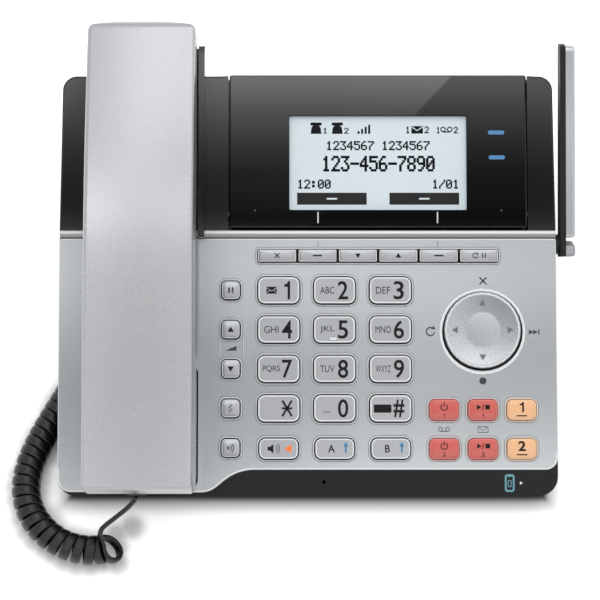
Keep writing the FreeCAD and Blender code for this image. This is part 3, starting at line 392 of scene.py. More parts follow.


# finishes: colour out of 255, grain size in mm, and what the shader's sockets hold; shade is how much painted
# shade lightens and darkens the colour
finishLooks = {
    "case_black": {"colour": (24, 24, 26), "size": 0.35, "speckle": 0.25, "drift": 0.15,
                   "rough": 0.50, "bump": 0.18, "sockets": {"Specular IOR Level": 0.22}},
    "face_silver": {"colour": (188, 192, 194), "size": 0.22, "speckle": 0.16, "drift": 0.04,
                    "rough": 0.18, "roughChange": 0.04, "bump": 0.03, "sockets": {"Metallic": 0.65}},
    "handset_silver": {"colour": (178, 179, 182), "size": 0.20, "speckle": 0.07, "drift": 0.04,
                       "rough": 0.27, "roughChange": 0.05, "bump": 0.03, "sockets": {"Metallic": 0.60}},
    "trim_bright": {"colour": (158, 160, 162), "size": 0.20, "speckle": 0.03, "drift": 0.05,
                    "rough": 0.26, "bump": 0.0, "sockets": {"Metallic": 0.7}},
    "gloss_black": {"colour": (14, 14, 16), "size": 0.40, "speckle": 0.10, "drift": 0.20,
                    "rough": 0.09, "roughChange": 0.03, "bump": 0.0, "sockets": {}},
    "lcd_pale": {"colour": (212, 222, 227), "size": 0.45, "speckle": 0.05, "drift": 0.08,
                 "rough": 0.30, "bump": 0.0, "sockets": {"Emission Strength": 0.26,
                                                         "Emission Color": linear(206, 224, 232)}},
    "circuit_board": {"colour": (30, 92, 52), "size": 1.6, "speckle": 0.25, "drift": 0.12,
                      "rough": 0.38, "bump": 0.25, "sockets": {}},
    "mat_rubber": {"colour": (160, 160, 156), "size": 0.5, "speckle": 0.08, "drift": 0.10,
                   "rough": 0.62, "bump": 0.10, "sockets": {}},
    "foot_rubber": {"colour": (30, 30, 30), "size": 0.4, "speckle": 0.25, "drift": 0.15,
                    "rough": 0.80, "bump": 0.30, "sockets": {"Specular IOR Level": 0.3}},
    "speaker_black": {"colour": (34, 34, 34), "size": 0.6, "speckle": 0.25, "drift": 0.10,
                      "rough": 0.70, "bump": 0.30, "sockets": {}},
    "screw_steel": {"colour": (190, 190, 192), "size": 0.25, "speckle": 0.10, "drift": 0.05,
                    "rough": 0.34, "bump": 0.08, "sockets": {"Metallic": 1.0}},
    "jack_black": {"colour": (28, 28, 29), "size": 0.4, "speckle": 0.20, "drift": 0.10,
                   "rough": 0.50, "bump": 0.12, "sockets": {}},
    "plug_clear": {"colour": (120, 122, 124), "size": 0.6, "speckle": 0.06, "drift": 0.10,
                   "rough": 0.14, "bump": 0.0, "sockets": {"Transmission Weight": 0.55, "IOR": 1.49}},
    "key_silver": {"colour": (176, 178, 181), "size": 0.20, "speckle": 0.12, "drift": 0.04,
                   "rough": 0.26, "roughChange": 0.05, "bump": 0.04, "shade": 0.30,
                   "sockets": {"Metallic": 0.45}},
    "key_red": {"colour": (204, 92, 82), "size": 0.7, "speckle": 0.10, "drift": 0.10,
                "rough": 0.28, "bump": 0.02, "shade": 0.12,
                "sockets": {"Coat Weight": 0.4, "Emission Strength": 0.10,
                            "Emission Color": linear(230, 70, 60)}},
    "key_amber": {"colour": (243, 186, 138), "size": 0.7, "speckle": 0.06, "drift": 0.08,
                  "rough": 0.28, "bump": 0.02, "shade": 0.08,
                  "sockets": {"Coat Weight": 0.4, "Emission Strength": 0.10,
                              "Emission Color": linear(255, 200, 150)}},
    "inkBlack": {"colour": (20, 20, 22), "size": 0.3, "speckle": 0.15, "drift": 0.05,
                 "rough": 0.50, "bump": 0.0, "sockets": {"Specular IOR Level": 0.15}},
    "inkGrey": {"colour": (70, 72, 75), "size": 0.3, "speckle": 0.15, "drift": 0.05,
                "rough": 0.50, "bump": 0.0, "sockets": {"Specular IOR Level": 0.15}},
    "paintedGapShade": {"colour": (12, 12, 14), "size": 0.5, "speckle": 0.15, "drift": 0.05,
                 "rough": 0.60, "bump": 0.0, "sockets": {"Specular IOR Level": 0.05}},
    "paintedShadeRed": {"colour": (132, 48, 44), "size": 0.5, "speckle": 0.12, "drift": 0.05, "rough": 0.34,
               "bump": 0.0, "sockets": {}},
    "paintedHighlightRed": {"colour": (236, 142, 130), "size": 0.5, "speckle": 0.12, "drift": 0.05, "rough": 0.30,
                "bump": 0.0, "sockets": {}},
    "paintedShadeAmber": {"colour": (150, 104, 72), "size": 0.5, "speckle": 0.12, "drift": 0.05, "rough": 0.34,
                 "bump": 0.0, "sockets": {}},
    "paintedHighlightAmber": {"colour": (255, 220, 180), "size": 0.5, "speckle": 0.12, "drift": 0.05, "rough": 0.30,
                  "bump": 0.0, "sockets": {}},
    "inkWhite": {"colour": (236, 238, 240), "size": 0.3, "speckle": 0.04, "drift": 0.03,
                 "rough": 0.45, "bump": 0.0, "sockets": {}},
    "inkTeal": {"colour": (104, 166, 178), "size": 0.3, "speckle": 0.06, "drift": 0.04,
                "rough": 0.45, "bump": 0.0, "sockets": {}},
    "inkRed": {"colour": (70, 18, 16), "size": 0.3, "speckle": 0.06, "drift": 0.04,
               "rough": 0.45, "bump": 0.0, "sockets": {}},
    "paintedHighlight": {"colour": (246, 248, 249), "size": 0.2, "speckle": 0.05, "drift": 0.03,
                  "rough": 0.30, "bump": 0.0, "sockets": {}},
    "paintedHaloSilver": {"colour": (236, 239, 241), "size": 0.2, "speckle": 0.05, "drift": 0.03,
                   "rough": 0.34, "bump": 0.0, "sockets": {"Metallic": 0.10}},
    "trimShade": {"colour": (96, 98, 100), "size": 0.3, "speckle": 0.10, "drift": 0.05,
                  "rough": 0.40, "bump": 0.0, "sockets": {"Metallic": 0.3}},
    "arrowGrey": {"colour": (104, 107, 110), "size": 0.2, "speckle": 0.20, "drift": 0.05,
                  "rough": 0.45, "bump": 0.0, "sockets": {}},
    "grooveGrey": {"colour": (112, 116, 119), "size": 0.2, "speckle": 0.10, "drift": 0.05,
                   "rough": 0.45, "bump": 0.0, "sockets": {}},
    "lampBlue": {"colour": (70, 124, 172), "size": 0.5, "speckle": 0.06, "drift": 0.05, "rough": 0.3,
                 "bump": 0.0, "sockets": {"Emission Strength": 0.14, "Emission Color": linear(70, 150, 215)}},
    "lampOrange": {"colour": (250, 116, 40), "size": 0.5, "speckle": 0.06, "drift": 0.05, "rough": 0.3,
                   "bump": 0.0,
                   "sockets": {"Emission Strength": 0.35, "Emission Color": linear(255, 110, 30)}},
    "dotInk": {"colour": (26, 28, 32), "size": 0.4, "speckle": 0.20, "drift": 0.05,
               "rough": 0.50, "bump": 0.0, "sockets": {"Specular IOR Level": 0.05}},
    "barInk": {"colour": (54, 53, 53), "size": 0.4, "speckle": 0.20, "drift": 0.05,
               "rough": 0.50, "bump": 0.0, "sockets": {"Specular IOR Level": 0.05}},
    "pivot_silver": {"colour": (150, 151, 155), "size": 0.22, "speckle": 0.10, "drift": 0.04,
                     "rough": 0.30, "bump": 0.03, "sockets": {"Metallic": 0.4}},
    "disc_silver": {"colour": (174, 177, 180), "size": 0.30, "speckle": 0.30, "drift": 0.04,
                    "rough": 0.27, "roughChange": 0.04, "bump": 0.03, "shade": 0.42,
                    "sockets": {"Metallic": 0.6}},
}


def makeFinish(name, look):
    # grain on the colour and roughness, and a fine bump where the look has one
    material = bpy.data.materials.new(name)
    material.use_nodes = True
    tree = material.node_tree
    shader = tree.nodes["Principled BSDF"]
    place = tree.nodes.new("ShaderNodeTexCoord")
    grain = tree.nodes.new("ShaderNodeGroup")
    grain.node_tree = surfaceGrain
    tree.links.new(place.outputs["Object"], grain.inputs["Place"])
    grain.inputs["Colour"].default_value = linear(*look["colour"])
    grain.inputs["Size"].default_value = look["size"]
    grain.inputs["Speckle"].default_value = look["speckle"]
    grain.inputs["Drift"].default_value = look["drift"]
    grain.inputs["Roughness"].default_value = look["rough"]
    grain.inputs["Rough Change"].default_value = look.get("roughChange", grainLook["roughChange"])
    colour = grain.outputs["Colour"]
    if "shade" in look:
        # painted shade: paler towards a key's far edge and darker towards its near one, where it has a domed
        # cap
        shade = math2(tree, "MULTIPLY", readValue(tree, "keyShade"), look["shade"])
        colour = scaleColour(tree, colour, math2(tree, "ADD", shade, 1.0))
    tree.links.new(colour, shader.inputs["Base Color"])
    tree.links.new(grain.outputs["Roughness"], shader.inputs["Roughness"])
    if look["bump"]:
        bump = tree.nodes.new("ShaderNodeBump")
        bump.inputs["Strength"].default_value = look["bump"]
        bump.inputs["Distance"].default_value = grainLook["depth"]
        tree.links.new(grain.outputs["Height"], bump.inputs["Height"])
        tree.links.new(bump.outputs["Normal"], shader.inputs["Normal"])
    for socket, value in look["sockets"].items():
        shader.inputs[socket].default_value = value
    return material


finishes = {name: makeFinish(name, look) for name, look in finishLooks.items()}


# handset: its top is slightly rounded across, which a bump in millimetres adds to the CAD face
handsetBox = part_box("handset_front_shell")
handsetLook = {"middle": float(handsetBox[0][0] + handsetBox[1][0]) / 2, "crownRadius": 400.0, "grit": 0.0006}


def makeHandsetFinish():
    material = finishes["handset_silver"]
    # height: minus the distance from the middle squared over twice the radius, and a fine grit
    tree = material.node_tree
    bump = nodeOf(tree, "BUMP")
    x = partsOf(tree, nodeOf(tree, "TEX_COORD").outputs["Object"])[0]
    away = math2(tree, "MULTIPLY", math2(tree, "SUBTRACT", x, handsetLook["middle"]), 1000.0)
    crown = math2(tree, "DIVIDE", math2(tree, "MULTIPLY", away, away), -2.0 * handsetLook["crownRadius"])
    grit = math2(tree, "MULTIPLY", nodeOf(tree, "GROUP").outputs["Height"], handsetLook["grit"])
    tree.links.new(math2(tree, "ADD", crown, grit), bump.inputs["Height"])
    bump.inputs["Strength"].default_value = 1.0
    bump.inputs["Distance"].default_value = 0.001


makeHandsetFinish()

# lens: black behind gloss, with a clear window over the LCD
lensLook = {"window": (29.7, 139.95), "half": (37.4, 20.05), "corner": 0.7, "clear": 0.03, "soft": 0.05,
            "face": 0.6, "colour": (9, 9, 10), "rough": 0.012}


def makeLensFinish():
    # opaque but for a rounded rectangle over the LCD
    material = makeFinish("lens_black", {
        "colour": lensLook["colour"], "size": 0.6, "speckle": 0.10, "drift": 0.15, "rough": lensLook["rough"],
        "roughChange": 0.004, "bump": 0.0, "sockets": {"Specular IOR Level": 0.5}})
    tree = material.node_tree
    shader = tree.nodes["Principled BSDF"]
    place = nodeOf(tree, "TEX_COORD")
    # the place is turned into the panel's plane about the window's centre, in millimetres
    centre = onPanel(*lensLook["window"], lensLook["face"])
    moved = tree.nodes.new("ShaderNodeVectorMath")
    moved.operation = "SUBTRACT"
    moved.inputs[1].default_value = tuple(centre)
    tree.links.new(place.outputs["Object"], moved.inputs[0])
    turned = tree.nodes.new("ShaderNodeMapping")
    turned.inputs["Rotation"].default_value = (-slope, 0, 0)
    turned.inputs["Scale"].default_value = (1000, 1000, 1000)
    tree.links.new(moved.outputs[0], turned.inputs["Vector"])
    # distance outside a rectangle with rounded corners
    corner, soft = lensLook["corner"], lensLook["soft"]
    reach = []
    for part, half in zip(partsOf(tree, turned.outputs[0]), lensLook["half"]):
        off = math2(tree, "SUBTRACT", math2(tree, "ABSOLUTE", part), half - corner)
        reach.append(math2(tree, "MAXIMUM", off, 0.0))
    away = math2(tree, "SQRT", math2(tree, "ADD", math2(tree, "POWER", reach[0], 2.0),
                                     math2(tree, "POWER", reach[1], 2.0)))
    window = mapRange(tree, away, corner - soft, corner + soft, lensLook["clear"], 1)
    tree.links.new(window, shader.inputs["Alpha"])
    return material


finishes["lens_black"] = makeLensFinish()


# cord vinyl: satin, with a faint lengthwise streak
vinylLook = {"colour": (17, 17, 18), "stretch": (0.7, 9.0, 1.0), "streakScale": 6.0, "streak": 0.5}


def makeVinyl():
    material = makeFinish("cord_black", {
        "colour": vinylLook["colour"], "size": 0.5, "speckle": 0.12, "drift": 0.15, "rough": 0.30,
        "bump": 0.05, "sockets": {"Specular IOR Level": 0.45}})
    tree = material.node_tree
    uv = tree.nodes.new("ShaderNodeUVMap")
    uv.uv_map = "alongCord"
    stretch = tree.nodes.new("ShaderNodeMapping")
    stretch.inputs["Scale"].default_value = vinylLook["stretch"]
    tree.links.new(uv.outputs[0], stretch.inputs["Vector"])
    streak = noise(tree, stretch.outputs[0], vinylLook["streakScale"], 3.0)
    shade = math2(tree, "MULTIPLY", streak, vinylLook["streak"])
    shade = math2(tree, "ADD", shade, 1 - vinylLook["streak"] / 2)
    streaked = scaleColour(tree, nodeOf(tree, "GROUP").outputs["Colour"], shade)
    tree.links.new(streaked, tree.nodes["Principled BSDF"].inputs["Base Color"])
    return material


finishes["cord_black"] = makeVinyl()
cordPiece.data.materials.append(finishes["cord_black"])

for row in frame["record"]["subparts"]:
    for part in nodes[row["node"]].material_slots:
        part.material = finishes[row["material_slot"]]
for name, finish in (("nav_disc", "disc_silver"), ("antenna_pivot", "pivot_silver")):
    nodes[name].material_slots[0].material = finishes[finish]
print("finishes:", len(finishes))


# thin printed and raised marks, all in panel millimetres
def prism(outline, low, high):
    # a flat outline, drawn counter-clockwise, carried up from low to high
    outline = np.asarray(outline, float)
    n = len(outline)
    points = np.concatenate([np.column_stack([outline, np.full(n, h)]) for h in (low, high)])
    i = np.arange(n)
    j = (i + 1) % n
    faces = np.stack([i, j, j + n, i + n], -1).tolist()
    return points, faces + [list(range(n, 2 * n)), list(range(n))[::-1]]


def ribbon(line, width, low, high, closed=False):
    # a strip of even width along a line, with a small box for its section
    line = np.asarray(line, float)
    n = len(line)
    along = np.roll(line, -1, 0) - np.roll(line, 1, 0) if closed else np.gradient(line, axis=0)
    along = unit(along)
    left = np.stack([-along[:, 1], along[:, 0]], -1) * width / 2
    rows = [(line - left, low), (line - left, high), (line + left, high), (line + left, low)]
    points = np.concatenate([np.column_stack([place, np.full(n, h)]) for place, h in rows])
    faces = gridFaces(4, n, closeRows=True, closeColumns=closed)
    if not closed:
        faces += [[0, n, 2 * n, 3 * n], [4 * n - 1, 3 * n - 1, 2 * n - 1, n - 1]]
    return points, faces


def roundedLoop(x, v, width, height, radius, grow=0.0, steps=9):
    # four corner arcs joined by straight sides, counter-clockwise
    a, b, r = width / 2 - radius, height / 2 - radius, max(radius + grow, 0.02)
    start = np.repeat(np.arange(4) * math.pi / 2, steps)
    turn = start + np.tile(np.linspace(0, math.pi / 2, steps), 4)
    corner = np.repeat(np.array([[a, b], [-a, b], [-a, -b], [a, -b]]), steps, 0)
    return np.stack([x + corner[:, 0] + r * np.cos(turn), v + corner[:, 1] + r * np.sin(turn)], -1)


def bead(spot, section):
    # spot is (x, v, width, height, corner radius) of a rounded loop; a section of (distance outside
    # the loop, height) pairs, from outside in, is carried round it
    loops = [roundedLoop(*spot, grow=grow) for grow, h in section]
    points = np.concatenate([np.column_stack([loop, np.full(len(loop), h)])
                             for loop, (grow, h) in zip(loops, section)])
    return points, gridFaces(len(section), len(loops[0]), closeRows=True, closeColumns=True)


def arc(x, v, radius, start, end, steps=24):
    # part of a circle, between two angles in degrees
    turn = np.radians(np.linspace(start, end, steps))
    return np.stack([x + radius * np.cos(turn), v + radius * np.sin(turn)], -1)


def disc(x, v, radius, low, high):
    return prism(arc(x, v, radius, 0, 345, 24), low, high)


def arrow(x, v, size, towards, low, high):
    # an even triangle whose tip points towards an angle
    turn = np.radians(towards + np.array([0, 120, 240]))
    return prism(np.stack([x + size * np.cos(turn), v + size * np.sin(turn)], -1), low, high)


def textMark(words, x, v, width, height, low, high, heavy=0.0):
    # letters made a mesh, then fitted to a box; a width of 0 keeps nearly their own proportions
    data = bpy.data.curves.new("text", "FONT")
    data.body = words
    data.extrude = 0.01
    data.offset = heavy
    data.resolution_u = 4
    points, faces = meshOf(data)
    least, most = points.min(0), points.max(0)
    size = most - least
    scaleV = height / size[1]
    scaleX = width / size[0] if width else scaleV * 0.92
    middle = (least + most) / 2
    flat = np.stack([x + (points[:, 0] - middle[0]) * scaleX, v + (points[:, 1] - middle[1]) * scaleV,
                     np.where(points[:, 2] > 0, high, low)], -1)
    return flat, faces


def oneMark(x, v, width, height, low, high):
    # the figure 1: an upright stroke with a flag
    shape = [(0.58, 0), (1, 0), (1, 1), (0.72, 1), (0.45, 0.87), (0, 0.81), (0, 0.69), (0.58, 0.69)]
    return prism([(x + (a - 0.5) * width, v + (b - 0.5) * height) for a, b in shape], low, high)


def figureMark(label, x, v, width, height, low, high, heavy=0.02):
    if label == "1":
        return oneMark(x, v, width * 0.58, height, low, high)
    return textMark(label, x, v, width, height, low, high, heavy)


def pillow(spot, low, rise, inset, steps=7):
    # a key's domed cap: its outline shrunk ring by ring to the middle; a ring of relative size f
    # stands at the rise times (1 - f to the power 2.5)
    x, v = spot[:2]
    loop = roundedLoop(*spot, grow=-inset)
    f = np.linspace(1, 0.08, steps)[:, None]
    flat = np.array([x, v]) + (loop - [x, v]) * f[..., None]
    height = np.broadcast_to(low + rise * (1 - f ** 2.5), flat.shape[:2])
    points = np.concatenate([flat, height[..., None]], -1).reshape(-1, 3)
    n = len(loop)
    base = np.column_stack([loop, np.full(n, low - 0.1)])
    faces = gridFaces(steps, n, closeColumns=True)
    faces += [list(range((steps - 1) * n, steps * n))]
    i = np.arange(n)
    j = (i + 1) % n
    faces += np.stack([i + steps * n, j + steps * n, j, i], -1).tolist()
    faces += [list(range(steps * n, (steps + 1) * n))[::-1]]
    return np.concatenate([points, base]), faces


def markPiece(name, body, marks, spot=None):
    # marks are (material name, (points, faces)); all become one mesh that rides on one body, and
    # a spot gives each point's place between the key's near edge, -1, and its far edge, 1, which the key
    # finishes turn into painted shade
    points, faces, which, names = [], [], [], []
    offset = 0
    for finish, (place, polygons) in marks:
        if finish not in names:
            names.append(finish)
        points.append(onPanel(*np.asarray(place).T))
        faces += [[i + offset for i in p] for p in polygons]
        which += [names.index(finish)] * len(polygons)
        offset += len(place)
    piece = makeMesh(name, np.concatenate(points), faces, smooth=False)
    for finish in names:
        piece.data.materials.append(finishes[finish])
    piece.data.polygons.foreach_set("material_index", np.array(which, np.int32))
    if spot:
        v = np.concatenate([np.asarray(place)[:, 1] for _, (place, _) in marks])
        writeValues(piece, "keyShade", np.clip((v - spot[1]) / (spot[3] / 2), -1, 1))
        capped = [names.index(n) for n in names if n.startswith("key_")]
        smooth = np.isin(np.array(which), capped)
        piece.data.polygons.foreach_set("use_smooth", smooth)
    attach(piece, body)
    return piece


# keys: sizes are width, height and corner radius; rim is how wide the edge painted dark as shade and
# the line painted bright as a highlight inside it are; dome is the rise of the cap, for those that have one
keys = {
    "top": 1.4, "middle": 11.3, "columnPitch": 23.4, "farRow": 85.9, "rowPitch": 16.5, "callRow": 19.6,
    "sideColumn": -32.2, "softStart": -21.3, "softPitch": 16.97, "softRow": 100.5,
    "lineStart": 57.0, "lineFar": 35.8, "linePitch": 16.2,
    "sizes": {"number": (18.0, 11.8, 3.2), "call": (16.9, 9.2, 3.0), "side": (8.2, 8.2, 2.2),
              "soft": (16.47, 5.6, 0.8), "line": (12.7, 9.0, 2.6)},
    "rim": {"number": (0.42, 0.62), "call": (0.40, 0.55), "side": (0.42, 0.45), "soft": (0.30, 0.40),
            "line": (0.32, 0.5)},
    "dome": {"side": 0.42, "soft": 0.30, "line": 0.22},
    "print": 0.035, "edgeFoot": 0.4,
}


def keyPlaces():
    # each key's middle on the panel and its kind
    spots = {}
    for i, name in enumerate(["1", "2", "3", "4", "5", "6", "7", "8", "9", "star", "0", "hash"]):
        x = keys["middle"] + (i % 3 - 1) * keys["columnPitch"]
        spots["key_" + name] = (x, keys["farRow"] - i // 3 * keys["rowPitch"], "number")
    for i, name in enumerate(["speaker", "mobile_a", "mobile_b"]):
        spots["key_" + name] = (keys["middle"] + (i - 1) * keys["columnPitch"], keys["callRow"], "call")
    for i, name in enumerate(["hold", "volume_up", "volume_down", "flash", "talk"]):
        spots["key_" + name] = (keys["sideColumn"], keys["farRow"] - i * keys["rowPitch"], "side")
    for i, name in enumerate(["cancel", "soft_left", "caller_list", "directory", "soft_right", "redial"]):
        spots["key_" + name] = (keys["softStart"] + (i + 0.5) * keys["softPitch"], keys["softRow"], "soft")
    for i, name in enumerate(["answer", "play", "line"]):
        for row in (0, 1):
            x, v = keys["lineStart"] + i * keys["linePitch"], keys["lineFar"] - row * keys["linePitch"]
            spots["key_%s_%d" % (name, row + 1)] = (x, v, "line")
    return spots


keySpots = keyPlaces()


def envelope(x, v, width, height, low, high):
    # a dark rectangle with the folds of its flap over it
    a, b = width / 2, height / 2
    return [("inkBlack", prism([(x - a, v - b), (x + a, v - b), (x + a, v + b), (x - a, v + b)], low, high)),
            ("key_silver", ribbon([(x - a, v + b * 0.75), (x, v - b * 0.25), (x + a, v + b * 0.75)],
                                  0.32, high, high + 0.02)),
            ("key_silver", ribbon([(x - a, v - b * 0.8), (x - a * 0.35, v)], 0.25, high, high + 0.02)),
            ("key_silver", ribbon([(x + a * 0.35, v), (x + a, v - b * 0.8)], 0.25, high, high + 0.02))]


# number keys: letters with how wide they are; figures stand right of the middle, letters left of it
numberPrint = {
    "letters": {"2": ("ABC", 6.0), "3": ("DEF", 6.0), "4": ("GHI", 6.0), "5": ("JKL", 6.0),
                "6": ("MNO", 6.4), "7": ("PQRS", 7.2), "8": ("TUV", 6.0), "9": ("WXYZ", 6.3)},
    "lettersAt": -3.1, "lettersHigh": 2.9, "figureAt": 3.5, "figure": (4.3, 7.7), "star": (2.0, 3.3, 2.2)}


def numberLegend(name, x, v, low, high):
    label = name[len("key_"):]
    marks = []
    if label in numberPrint["letters"]:
        letters, wide = numberPrint["letters"][label]
        place = x + numberPrint["lettersAt"]
        marks.append(("inkBlack", textMark(letters, place, v, wide, numberPrint["lettersHigh"], low, high)))
    if label == "star":
        cx = x + numberPrint["figureAt"]
        a, b, c = numberPrint["star"]
        for dx, dv in ((a, b), (a, -b), (c, 0.0)):
            line = np.array([(cx - dx, v - dv), (cx, v), (cx + dx, v + dv)])
            marks.append(("inkBlack", ribbon(line, 0.85, low, high)))
    elif label == "hash":
        marks.append(("inkBlack", textMark("#", x + 3.4, v, 4.6, 7.4, low, high, 0.02)))
        marks.append(("inkBlack", prism(roundedLoop(x - 3.4, v - 0.1, 7.4, 3.4, 0.5), low, high)))
    else:
        place = x + numberPrint["figureAt"]
        marks.append(("inkBlack", figureMark(label, place, v, *numberPrint["figure"], low, high, 0.012)))
    if label == "1":
        marks += envelope(x - 3.0, v, 4.3, 2.9, low, high)
    # a raised nub, painted bright as a highlight
    if label == "5":
        marks.append(("paintedHighlight", prism(roundedLoop(x - 0.6, v - 3.9, 3.0, 1.0, 0.48), low, high + 0.5)))
    if label == "0":
        marks.append(("inkBlack", ribbon([(x - 4.4, v - 0.9), (x - 4.4, v - 1.6), (x - 2.2, v - 1.6),
                                          (x - 2.2, v - 0.9)], 0.28, low, high)))
    return marks


def callLegend(name, x, v, low, high):
    # a loudspeaker with two sound arcs and an orange arrow, or a letter and a blue arrow
    if name == "key_speaker":
        body = prism([(x - 4.6, v - 0.8), (x - 3.6, v - 0.8), (x - 2.2, v - 1.9), (x - 2.2, v + 1.9),
                      (x - 3.6, v + 0.8), (x - 4.6, v + 0.8)], low, high)
        return [("inkBlack", body), ("inkBlack", ribbon(arc(x - 2.4, v, 1.7, -45, 45, 9), 0.3, low, high)),
                ("inkBlack", ribbon(arc(x - 2.4, v, 2.7, -45, 45, 9), 0.3, low, high)),
                ("lampOrange", arrow(x + 4.3, v, 2.0, 180, high, high + 0.02))]
    label = name[-1].upper()
    stem = [(x + 4.6, v - 1.7), (x + 4.6, v - 0.5), (x + 4.6, v + 1.6)]
    return [("inkBlack", textMark(label, x - 1.4, v, 0, 3.2, low, high, 0.015)),
            ("lampBlue", ribbon(stem, 0.75, high, high + 0.02)),
            ("lampBlue", arrow(x + 4.6, v + 1.6, 1.3, 90, high, high + 0.02))]


def sideLegend(name, x, v, low, high):
    # arrows, two pause bars, a flash, or a spot with two sound arcs
    if name == "key_volume_up":
        return [("inkBlack", arrow(x, v - 0.25, 1.5, 90, low, high))]
    if name == "key_volume_down":
        return [("inkBlack", arrow(x, v + 0.25, 1.5, 270, low, high))]
    if name == "key_hold":
        bars = [[(x + d, v - 1.2), (x + d, v + 1.2)] for d in (-0.75, 0.75)]
        return [("inkGrey", ribbon(bar, 0.7, low, high)) for bar in bars]
    if name == "key_flash":
        line = [(x + 0.6, v + 1.6), (x - 0.7, v), (x + 0.7, v), (x - 0.6, v - 1.6)]
        return [("inkGrey", ribbon(line, 0.5, low, high))]
    return [("inkGrey", disc(x - 0.9, v, 0.55, low, high)),
            ("inkGrey", ribbon(arc(x - 0.9, v, 1.4, -50, 50, 9), 0.4, low, high)),
            ("inkGrey", ribbon(arc(x - 0.9, v, 2.3, -50, 50, 9), 0.4, low, high))]


def softLegend(name, x, v, low, high):
    # dashes, arrows, a cross, or a turning arrow with two pause bars
    if name in ("key_soft_left", "key_soft_right"):
        return [("inkBlack", ribbon([(x - 1.9, v), (x + 1.9, v)], 0.65, low, high))]
    if name == "key_caller_list":
        return [("inkBlack", arrow(x, v + 0.2, 1.35, 270, low, high))]
    if name == "key_directory":
        return [("inkBlack", arrow(x, v - 0.2, 1.35, 90, low, high))]
    if name == "key_cancel":
        strokes = [[(x - d, v - 1.05), (x + d, v + 1.05)] for d in (-1.05, 1.05)]
        return [("inkGrey", ribbon(stroke, 0.5, low, high)) for stroke in strokes]
    return [("inkGrey", ribbon(arc(x - 1.6, v, 1.05, 40, 330, 20), 0.45, low, high)),
            ("inkGrey", arrow(x - 0.75, v + 0.75, 0.7, 20, low, high)),
            ("inkGrey", ribbon([(x + 1.4, v - 1.1), (x + 1.4, v + 1.1)], 0.5, low, high)),
            ("inkGrey", ribbon([(x + 2.5, v - 1.1), (x + 2.5, v + 1.1)], 0.5, low, high))]


def lineLegend(name, x, v, low, high):
    # a figure over a bar, or a power or play and stop sign over a small figure
    number = name[-1]
    if name.startswith("key_line"):
        return [("inkBlack", figureMark(number, x, v + 1.1, 3.1, 4.2, low, high, 0.03)),
                ("inkBlack", ribbon([(x - 2.2, v - 2.5), (x + 2.2, v - 2.5)], 0.5, low, high))]
    marks = [("inkRed", figureMark(number, x, v - 2.4, 1.3, 1.8, low, high, 0.02))]
    if name.startswith("key_answer"):
        marks.append(("inkBlack", ribbon(arc(x, v + 1.1, 1.35, 125, 415, 24), 0.42, low, high)))
        marks.append(("inkBlack", ribbon([(x, v + 1.3), (x, v + 3.0)], 0.42, low, high)))
    else:
        marks.append(("inkBlack", arrow(x - 1.9, v + 1.1, 1.25, 0, low, high)))
        marks.append(("inkBlack", ribbon([(x - 0.35, v - 0.2), (x + 0.45, v + 2.4)], 0.35, low, high)))
        marks.append(("inkBlack", prism(roundedLoop(x + 1.9, v + 1.1, 1.9, 1.9, 0.1), low, high)))
    return marks


legends = {"number": numberLegend, "call": callLegend, "side": sideLegend, "soft": softLegend,
           "line": lineLegend}
slots = {row["node"]: row["material_slot"] for row in frame["record"]["subparts"]}
# coloured keys get their painted shade and painted highlight in tinted colours
rimFinish = {"key_red": ("paintedShadeRed", "paintedHighlightRed"), "key_amber": ("paintedShadeAmber", "paintedHighlightAmber")}


def printKey(name, x, v, kind):
    # an edge bead painted dark as shade, a bead inside it painted bright as a highlight, a domed cap where
    # the key has one, and its legend
    spot = (x, v, *keys["sizes"][kind])
    top, (dark, bright) = keys["top"], keys["rim"][kind]
    rise = keys["dome"].get(kind, 0.0)
    inner, foot = -dark - bright, top - keys["edgeFoot"]
    marks = legends[kind](name, x, v, top + rise * 0.55 - 0.01, top + rise + keys["print"])
    edge, line = rimFinish.get(slots[name], ("paintedGapShade", "paintedHighlight"))
    # the edge bead is painted shade, and the bead inside it a painted highlight
    marks.append((edge, bead(spot, [(0.07, foot), (0.05, top - 0.02), (-dark, top + 0.02), (-dark, foot)])))
    marks.append((line, bead(spot, [(-dark, top - 0.02), (-dark - bright * 0.4, top + 0.08),
                                    (inner, top + 0.01), (inner, top - 0.1)])))
    if rise:
        marks.append((slots[name], pillow(spot, top + 0.03, rise, dark + bright * 0.6)))
    markPiece(name + "_print", name, marks, spot)


for name, (x, v, kind) in keySpots.items():
    printKey(name, x, v, kind)
print("key prints:", len(keySpots))


# disc: its middle, radius, and profile from the edge in as (distance from the middle, height)
discLook = {"centre": (73.3, 69.2), "radius": 16.1, "top": 1.2, "dish": 7.6, "arrows": 11.1, "profile": [
    (15.05, 1.10), (14.9, 1.22), (12.5, 1.40), (10.0, 1.55), (7.7, 1.66), (7.3, 1.64), (7.1, 1.60),
    (5.0, 1.48), (2.6, 1.40), (0.3, 1.38)]}


def discSpot(down=0.0):
    # the disc's outline as a rounded loop, moved down the panel if wanted
    x, v = discLook["centre"]
    return (x, v - down, *[2 * discLook["radius"]] * 2, discLook["radius"])


# plate: raised rings round the keys and lines along its lip, painted bright as highlights, and the signs
# beside the keys; the rings' places are in mm outside the key's edge, and side and end are where the lip's
# lines lie
plateLook = {
    "light": (0.12, 0.68), "line": (0.70, 0.96), "side": 103.95, "end": 107.7, "low": -0.02, "high": 0.02,
    "nearLeft": 1.9, "nearRight": 11.3, "discDown": 0.55, "speakerLines": (-37.1, -27.3),
    "ticks": (4.38, 54.67)}


def ringsRound(spot):
    # a low ring that narrows the gap round a key, painted bright as a highlight, and a fine grey line outside
    # it
    a, b = plateLook["light"]
    c, d = plateLook["line"]
    light = [(b, -0.02), (b - 0.1, 0.05), (a + 0.1, 0.05), (a, -0.1), (a, -0.5), (b, -0.5)]
    line = [(d, -0.05), (d, 0.03), (c, 0.03), (c, -0.05)]
    return [("paintedHaloSilver", bead(spot, light)), ("grooveGrey", bead(spot, line))]


